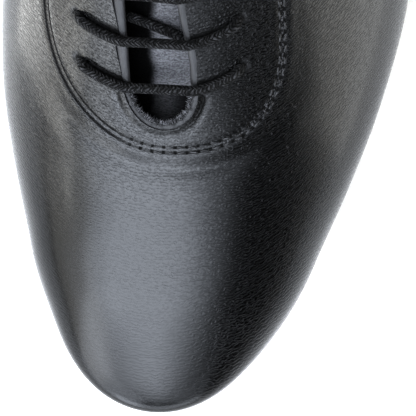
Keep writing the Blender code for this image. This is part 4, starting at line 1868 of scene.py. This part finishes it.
@dataclass
class Bottom:
    """The suede outsole and the sock inside."""

    last: Last
    sole_thickness: float = 3.7
    welt: float = 1.2
    draw_in: float = 1.4
    draw_span: tuple[float, float] = (112.0, 78.0)
    sock_inset: float = 2.2
    sock_thickness: float = 2.5
    columns: int = 11

    def stations(self) -> np.ndarray:
        """Stations from toe tip to heel back.

        Returns:
            Distances from the toe.
        """
        last = self.last
        rows = [rounding(0.0, last.toe_reach, 40), spread(last.toe_reach, last.length - last.heel_reach, 1.5)]
        return np.concatenate(rows + [closing(last.length - last.heel_reach, last.length, 36)])

    def slab(self, name: str, edge: Sequence[tuple[float, float]], base: float, crown: float,
             finishes: Sequence[bpy.types.Material], drawn: float = 0.0) -> bpy.types.Object:
        """A piece that follows the bottom of the last.

        Args:
            name: Its name.
            edge: Its edge from below to above: outward offset and height.
            base: Height of its underside above the sole's.
            crown: How far its top stands up in the middle.
            finishes: Finishes of the top and underside, and of the edge.
            drawn: How far the edge is drawn in under the forepart.

        Returns:
            The object.
        """
        stations = self.stations()
        sides = {}
        for side in Side:
            lines = []
            for offset, height in edge:
                flat = self.last.outline(stations, side, offset)
                near = self.last.outline(stations, side, offset - drawn)
                flat = flat + (near - flat) * smooth_step(*self.draw_span, stations)[:, None]
                z = self.last.sole_bottom(flat[:, 1]) + base + height
                lines.append(np.column_stack([flat, z]))
            sides[side] = np.stack(lines, 1)
        medial, lateral = sides[Side.MEDIAL], sides[Side.LATERAL]
        share = np.linspace(0.0, 1.0, self.columns + 2)[1:-1][None, :, None]
        below = medial[:, :1] + (lateral[:, :1] - medial[:, :1]) * share
        above = lateral[:, -1:] + (medial[:, -1:] - lateral[:, -1:]) * share
        above = above + np.array([0.0, 0.0, crown]) * (1.0 - (2.0 * share - 1.0) ** 2)
        below[..., 2] = self.last.sole_bottom(below[..., 1]) + base + edge[0][1]
        loop = np.concatenate([below, lateral, above, medial[:, ::-1]], 1)
        paint = np.zeros((len(stations) - 1, loop.shape[1]), int)
        paint[:, self.columns : self.columns + len(edge) - 1] = 1
        paint[:, 2 * self.columns + len(edge) : -1] = 1
        draft = Draft(name)
        draft.add(loop, True, False, None, paint)
        return draft.piece(self.last, finishes, 40.0)

    def build(self, suede: bpy.types.Material, stain: bpy.types.Material, sock: bpy.types.Material) -> None:
        """Makes the outsole and the sock.

        Args:
            suede: The sole's underside.
            stain: The sole's edge.
            sock: The sock's cover.
        """
        tall, out = self.sole_thickness, self.welt
        edge = [(out - 0.5, 0.0), (out - 0.15, 0.12), (out, 0.45), (out + 0.05, 1.8)]
        edge += [(out, tall - 0.6), (out - 0.2, tall - 0.15), (out - 0.7, tall)]
        settle(self.slab("outsole_suede", edge, 0.0, 0.0, [suede, stain], self.draw_in), Slot.SOLE, "outsole")
        inset, tall = self.sock_inset, self.sock_thickness
        edge = [(-inset - 0.6, 0.0), (-inset, 0.6), (-inset, tall - 0.7)]
        edge += [(-inset - 0.4, tall - 0.2), (-inset - 1.2, tall)]
        settle(self.slab("sock_leather", edge, self.last.sole_room, 0.4, [sock, sock]), Slot.SOCK, "insole")


@dataclass
class Heel:
    """The heel block and its top piece."""

    last: Last
    gap: float = 0.25
    inset: float = 0.5
    welt: float = 1.2
    tip_thickness: float = 6.0
    taper: float = 0.12
    back_lean: float = 8.0
    breast_lean: float = 3.0
    levels: int = 24

    def stations(self) -> np.ndarray:
        """Stations from the breast to the back.

        Returns:
            Distances from the toe.
        """
        last = self.last
        breast = last.length - last.heel_length
        rows = [np.array([breast]), spread(breast, last.length - last.heel_reach, 1.5)]
        return np.concatenate(rows + [closing(last.length - last.heel_reach, last.length, 30)])

    def place(self, flat: np.ndarray, share: np.ndarray, level: float) -> np.ndarray:
        """Outline points moved to a level of the heel.

        Args:
            flat: The outline under the seat.
            share: 0 at the breast, 1 at the back.
            level: 0 at the top, 1 at the foot.

        Returns:
            Points of two numbers.
        """
        curve = 1.0 - (1.0 - level) ** 2
        x = flat[:, 0] * (1.0 - self.taper * curve)
        y = flat[:, 1] + self.breast_lean * level * (1.0 - share) - self.back_lean * curve * share
        return np.stack([x, y], 1)

    def shape(self, name: str, heights: Sequence[tuple[float, float, float]],
              finish: bpy.types.Material) -> bpy.types.Object:
        """A body through levels.

        Args:
            name: Its name.
            heights: For each level, its share down the heel, its height and its inset. A height of 0 to 1 is a share
                between the seat and the foot; one below that is -1 less the millimetres above the floor.
            finish: Its finish.

        Returns:
            The object.
        """
        stations = self.stations()
        share = np.linspace(0.0, 1.0, len(stations))
        sides = {}
        for side in Side:
            lines = []
            for level, height, inset in heights:
                flat = self.last.outline(stations, side, self.welt - self.inset - inset)
                move = self.place(flat, share, level)
                if height >= 0.0:
                    top = self.last.sole_bottom(flat[:, 1]) - self.gap
                    z = top + (self.tip_thickness + self.gap - top) * height
                else:
                    z = np.full(len(stations), -1.0 - height)
                move[0, 1] += inset
                lines.append(np.column_stack([move, z]))
            sides[side] = np.stack(lines, 1)
        loop = np.concatenate([sides[Side.MEDIAL], sides[Side.LATERAL][:, ::-1]], 1)
        draft = Draft(name)
        draft.add(loop, True, True)
        breast = np.stack([sides[Side.MEDIAL][0], sides[Side.LATERAL][0]])
        draft.add(breast, False, True)
        return draft.piece(self.last, [finish], 40.0)

    def build(self, lacquer: bpy.types.Material, rubber: bpy.types.Material) -> None:
        """Makes the block and the top piece.

        Args:
            lacquer: The block's finish.
            rubber: The top piece's finish.
        """
        block = [(level, level, 0.0) for level in np.linspace(0.0, 1.0, self.levels)]
        block = [(0.0, 0.0, 0.4)] + [(0.012, 0.012, 0.0)] + block[1:-1] + [(0.99, 0.99, 0.0), (1.0, 1.0, 0.3)]
        settle(self.shape("heel_block", block, lacquer), Slot.HEEL, "heel")
        tall = self.tip_thickness
        tip = [(1.0, -1.0 - tall, 0.3), (1.0, -1.0 - tall + 0.3, 0.0)]
        tip += [(1.0, -1.5, 0.0), (1.0, -1.12, 0.15), (1.0, -1.0, 0.5)]
        settle(self.shape("heel_top_piece", tip, rubber), Slot.TIP, "heel_tip")


@dataclass
class FrayedRim:
    """Short fibres along the raw inner edge at the throat's front."""

    last: Last
    roll: EdgeRoll
    name: str
    roots: tuple[tuple[float, float], ...]
    lean: tuple[float, float]
    length: float = 1.0
    radius: float = 0.06
    pitch: float = 0.2
    reach: float = 77.0
    wobble: tuple[float, float] = (0.35, 1.3)
    stray: float = 0.55
    seed: int = 3

    def tree(self, finish: bpy.types.Material) -> GrowthTree:
        """The nodes that stand fibres along a line.

        Args:
            finish: Its finish.

        Returns:
            The tree, ready to run.
        """
        grown = GrowthTree(self.name)
        bench = grown.bench
        pitch = grown.size("Pitch", self.pitch * MM)
        length = grown.size("Length", self.length * MM)
        radius = grown.size("Radius", self.radius * MM)
        inputs = {"Curve": grown.guide(), "Length": pitch}
        marks = bench.node("GeometryNodeResampleCurve", {"mode": "LENGTH"}, inputs)
        inputs = {"Vertices": 3, "Radius Top": 0.2, "Radius Bottom": 1.0, "Depth": 1.0}
        cone = bench.node("GeometryNodeMeshCone", None, inputs)
        lean = bench.node("GeometryNodeInputNamedAttribute", {"data_type": "FLOAT_VECTOR"}, {"Name": "lean"})
        fibres = grown.scatter(marks, cone, (radius, radius, length), self.wobble, lean, self.stray, self.seed)
        grown.finish(fibres, finish)
        return grown

    def build(self, finish: bpy.types.Material) -> bpy.types.Object:
        """Makes the fibres.

        Args:
            finish: Its finish.

        Returns:
            The piece.
        """
        points, facing, inward = self.roll.frames()
        near = np.flatnonzero(points[:, 1] < self.reach)
        lines, leans = [], []
        for height, out in self.roots:
            lines.append(self.last.to_frame(points[near] + inward[near] * out + facing[near] * height))
            leans.append(inward[near] * self.lean[0] + facing[near] * self.lean[1])
        return settle(self.tree(finish).grow(self.name, lines, {"lean": leans}), Slot.UPPER)


@dataclass
class Studio:
    """A pale sweep, soft lights and the camera at the photo's angle."""

    last: Last
    azimuth: float = 35.0
    elevation: float = 79.5
    roll: float = -31.19
    pixels_per_mm: float = 4.055
    picture: float = 416.0
    sensor: float = 36.0
    distance: float = 900.0
    target: tuple[float, float, float] = (10.78, 50.38, 30.0)
    floor_flat: float = 3.8
    floor_wall: float = 5.5
    floor_rise: float = 1.2
    glow: tuple[float, float] = (55.0, 190.0)
    toe_glow: tuple[float, float] = (35.0, 90.0)
    toe_glow_at: tuple[float, float] = (8.0, -165.0)
    floor_light: float = 0.8
    floor_sides: int = 96
    room_light: float = 0.01
    print_tone: tuple[float, float] = (0.53, 0.78)
    key_power: float = 3.95
    key_steps: tuple[tuple[float, float, float, float, float], ...] = (
        (-0.56, 0.08, -0.41, 0.56, 1.25), (-0.70, 0.19, -0.42, 0.70, 1.2), (-0.84, 0.30, -0.43, 0.88, 1.05),
        (-0.90, 0.41, -0.46, 1.08, 0.8), (-0.94, 0.52, -0.50, 1.28, 0.45), (-0.94, 0.64, -0.50, 1.28, 0.25))

    def floor(self) -> None:
        """A round floor that curves up into a low wall."""
        turn = np.linspace(0.0, math.pi / 2.0, 24)[1:]
        flat = np.concatenate([[0.0], np.linspace(0.1, self.floor_flat, 8)])
        radii = np.concatenate([flat, self.floor_flat + (self.floor_wall - self.floor_flat) * np.sin(turn)])
        rise = np.concatenate([np.zeros(len(flat)), self.floor_rise * (1.0 - np.cos(turn))])
        around = np.linspace(0.0, 2.0 * math.pi, self.floor_sides + 1)[:-1]
        level = np.repeat(rise[:, None], self.floor_sides, 1)
        rows = np.stack([np.outer(radii, np.cos(around)), np.outer(radii, np.sin(around)), level], -1)
        draft = Draft("floor")
        draft.add(rows / MM + np.array(self.last.middle), True, False)
        material = bpy.data.materials.new("pale_floor")
        material.use_nodes = True
        bench = NodeBench(material.node_tree)
        shader = material.node_tree.nodes["Principled BSDF"]
        x, y, _ = bench.place()
        cloud = bench.noise((x, y, 0.0), 0.01)
        tone = bench.mix(cloud, (0.58, 0.58, 0.58, 1.0), (0.63, 0.63, 0.63, 1.0))
        # Painted light: the floor glows brighter near the shoe and brighter still by the toe, an uneven pool of light
        # from a surface that is no lamp.
        near = 1.0 - (x * x + y * y * 0.25).math("SQRT").ease(*self.glow)
        right, ahead = x - self.toe_glow_at[0], y - self.toe_glow_at[1]
        by_toe = 1.0 - (right * right + ahead * ahead).math("SQRT").ease(*self.toe_glow)
        glow = bench.mix(near, (0.2, 0.2, 0.2, 1.0), (0.412, 0.406, 0.392, 1.0))
        glow = bench.mix(by_toe, glow, (0.8, 0.8, 0.8, 1.0))
        inputs = {"Base Color": tone, "Roughness": 0.9, "Specular IOR Level": 0.1, "Emission Color": glow,
                  "Emission Strength": self.floor_light}
        for name, value in inputs.items():
            bench.feed(shader.inputs[name], value)
        draft.piece(self.last, [material], 60.0)

    def area(self, name: str, way: tuple[float, float, float], far: float, size: tuple[float, float], power: float,
             colour: Colour, aim: tuple[float, float, float] = (0.0, -0.08, 0.03), roll: float = 0.0) -> None:
        """A soft light.

        Args:
            name: Its name.
            way: Direction from the aim to the light.
            far: Distance in metres.
            size: Width and height in metres.
            power: Watts.
            colour: Its colour.
            aim: The point that it faces.
            roll: Degrees that it is turned about its own axis.
        """
        lamp = bpy.data.lights.new(name, "AREA")
        lamp.shape = "RECTANGLE"
        lamp.size, lamp.size_y = size
        lamp.energy = power
        lamp.color = colour
        made = bpy.data.objects.new(name, lamp)
        made.visible_camera = False
        direction = Vector(way).normalized()
        made.location = Vector(aim) + direction * far
        turn = Quaternion((0.0, 0.0, 1.0), math.radians(roll))
        made.rotation_euler = (direction.to_track_quat("Z", "Y") @ turn).to_euler()
        bpy.context.scene.collection.objects.link(made)

    def lights(self) -> None:
        """A large key with soft edges over the toe, a fill on the medial side, cards close by and a faint room."""
        cool, warm = (0.85, 0.905, 1.0), (1.0, 1.0, 0.96)
        toe = (0.0, -0.135, 0.025)
        for step, (left, right, front, high, share) in enumerate(self.key_steps):
            wide = right - left
            power = self.key_power * share * wide * high
            self.area(f"key_{step + 1}", ((left + right) / 2.0, front, 0.85), 1.0, (wide, high), power, cool)
        self.area("key_side", (-0.72, -0.42, 0.55), 0.9, (0.5, 0.6), 0.8, cool)
        self.area("left_fill", (-0.93, -0.2, 0.4), 1.0, (1.3, 0.66), 3.5, warm)
        self.area("medial_strip", (-1.0, 0.0, 0.0), 0.066, (0.1, 0.02), 0.025, warm, (-0.042, -0.0735, 0.041), 51.0)
        self.area("lateral_card", (1.0, 0.0, 0.1), 0.07, (0.11, 0.09), 0.065, warm, (0.05, -0.04, 0.038))
        self.area("lateral_side", (1.0, 0.0, 0.0), 0.07, (0.07, 0.07), 0.006, warm, (0.045, -0.07, 0.06))
        self.area("front_card", (-0.05, -1.0, 0.07), 0.6, (0.8, 0.24), 2.0, cool, toe)
        self.area("front_lateral", (0.36, -0.8, 0.42), 0.6, (0.25, 0.25), 0.2, cool, toe)
        self.area("front_side", (-0.62, -0.72, 0.25), 0.6, (0.5, 0.4), 1.6, cool, toe)
        world = bpy.data.worlds.new("room")
        world.use_nodes = True
        sky = world.node_tree.nodes["Background"].inputs
        sky["Color"].default_value = (1.0, 1.0, 1.0, 1.0)
        sky["Strength"].default_value = self.room_light
        bpy.context.scene.world = world

    def camera(self) -> None:
        """The camera, rolled as in the photo."""
        a, e, r = (math.radians(angle) for angle in (self.azimuth, self.elevation, self.roll))
        back = Vector((math.sin(a) * math.cos(e), -math.cos(a) * math.cos(e), math.sin(e)))
        right = Vector((math.cos(a), math.sin(a), 0.0))
        up = back.cross(right)
        right, up = right * math.cos(r) + up * math.sin(r), up * math.cos(r) - right * math.sin(r)
        data = bpy.data.cameras.new("camera")
        data.sensor_width = self.sensor
        data.lens = self.pixels_per_mm * self.distance * self.sensor / self.picture
        data.clip_end = 50.0
        made = bpy.data.objects.new("camera", data)
        place = Vector(self.last.to_frame(np.array(self.target))) + back * self.distance * MM
        made.matrix_world = Matrix.Translation(place) @ Matrix((right, up, back)).transposed().to_4x4()
        bpy.context.scene.collection.objects.link(made)
        bpy.context.scene.camera = made

    def build(self) -> None:
        """Sets up the studio."""
        self.camera()
        self.floor()
        self.lights()
        shown = bpy.context.scene.view_settings
        shown.view_transform = "Standard"
        shown.exposure, shown.gamma = self.print_tone


def main() -> None:
    """Builds the shoe's looks in order."""
    logging.basicConfig(level=logging.INFO, format="%(message)s")
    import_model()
    last = Last()
    pattern = Pattern(last)
    Studio(last).build()
    lining = LINING.make()
    upper = Upper(last, pattern)
    upper.build(UPPER_LEATHER.make(), lining)
    roll = EdgeRoll(last, pattern)
    roll.build(ROLL_LEATHER.make())
    SeamStitching(last, pattern, upper).build(SEAM_THREAD.make())
    pale_roots, dark_roots = ((-0.4, -0.2), (-0.6, 0.1), (-0.9, 0.3)), ((-0.5, 0.3), (-0.8, 0.45))
    pale = FrayedRim(last, roll, "pale_fibres", pale_roots, (1.0, -0.1))
    pale.build(FRAYED_FIBRE.make())
    dark = FrayedRim(last, roll, "dark_fibres", dark_roots, (-1.0, 0.55), length=1.1, pitch=0.3, seed=11)
    dark.build(DARK_FIBRE.make())
    Tongue(last).build(TONGUE_LEATHER.make(), lining)
    Lacing(last, pattern).build(LACE_CORD.make())
    Bottom(last).build(SOLE_SUEDE.make(), EDGE_STAIN.make(), SOCK_COVER.make())
    Heel(last).build(HEEL_LACQUER.make(), TIP_RUBBER.make())


if __name__ == "__main__":
    main()
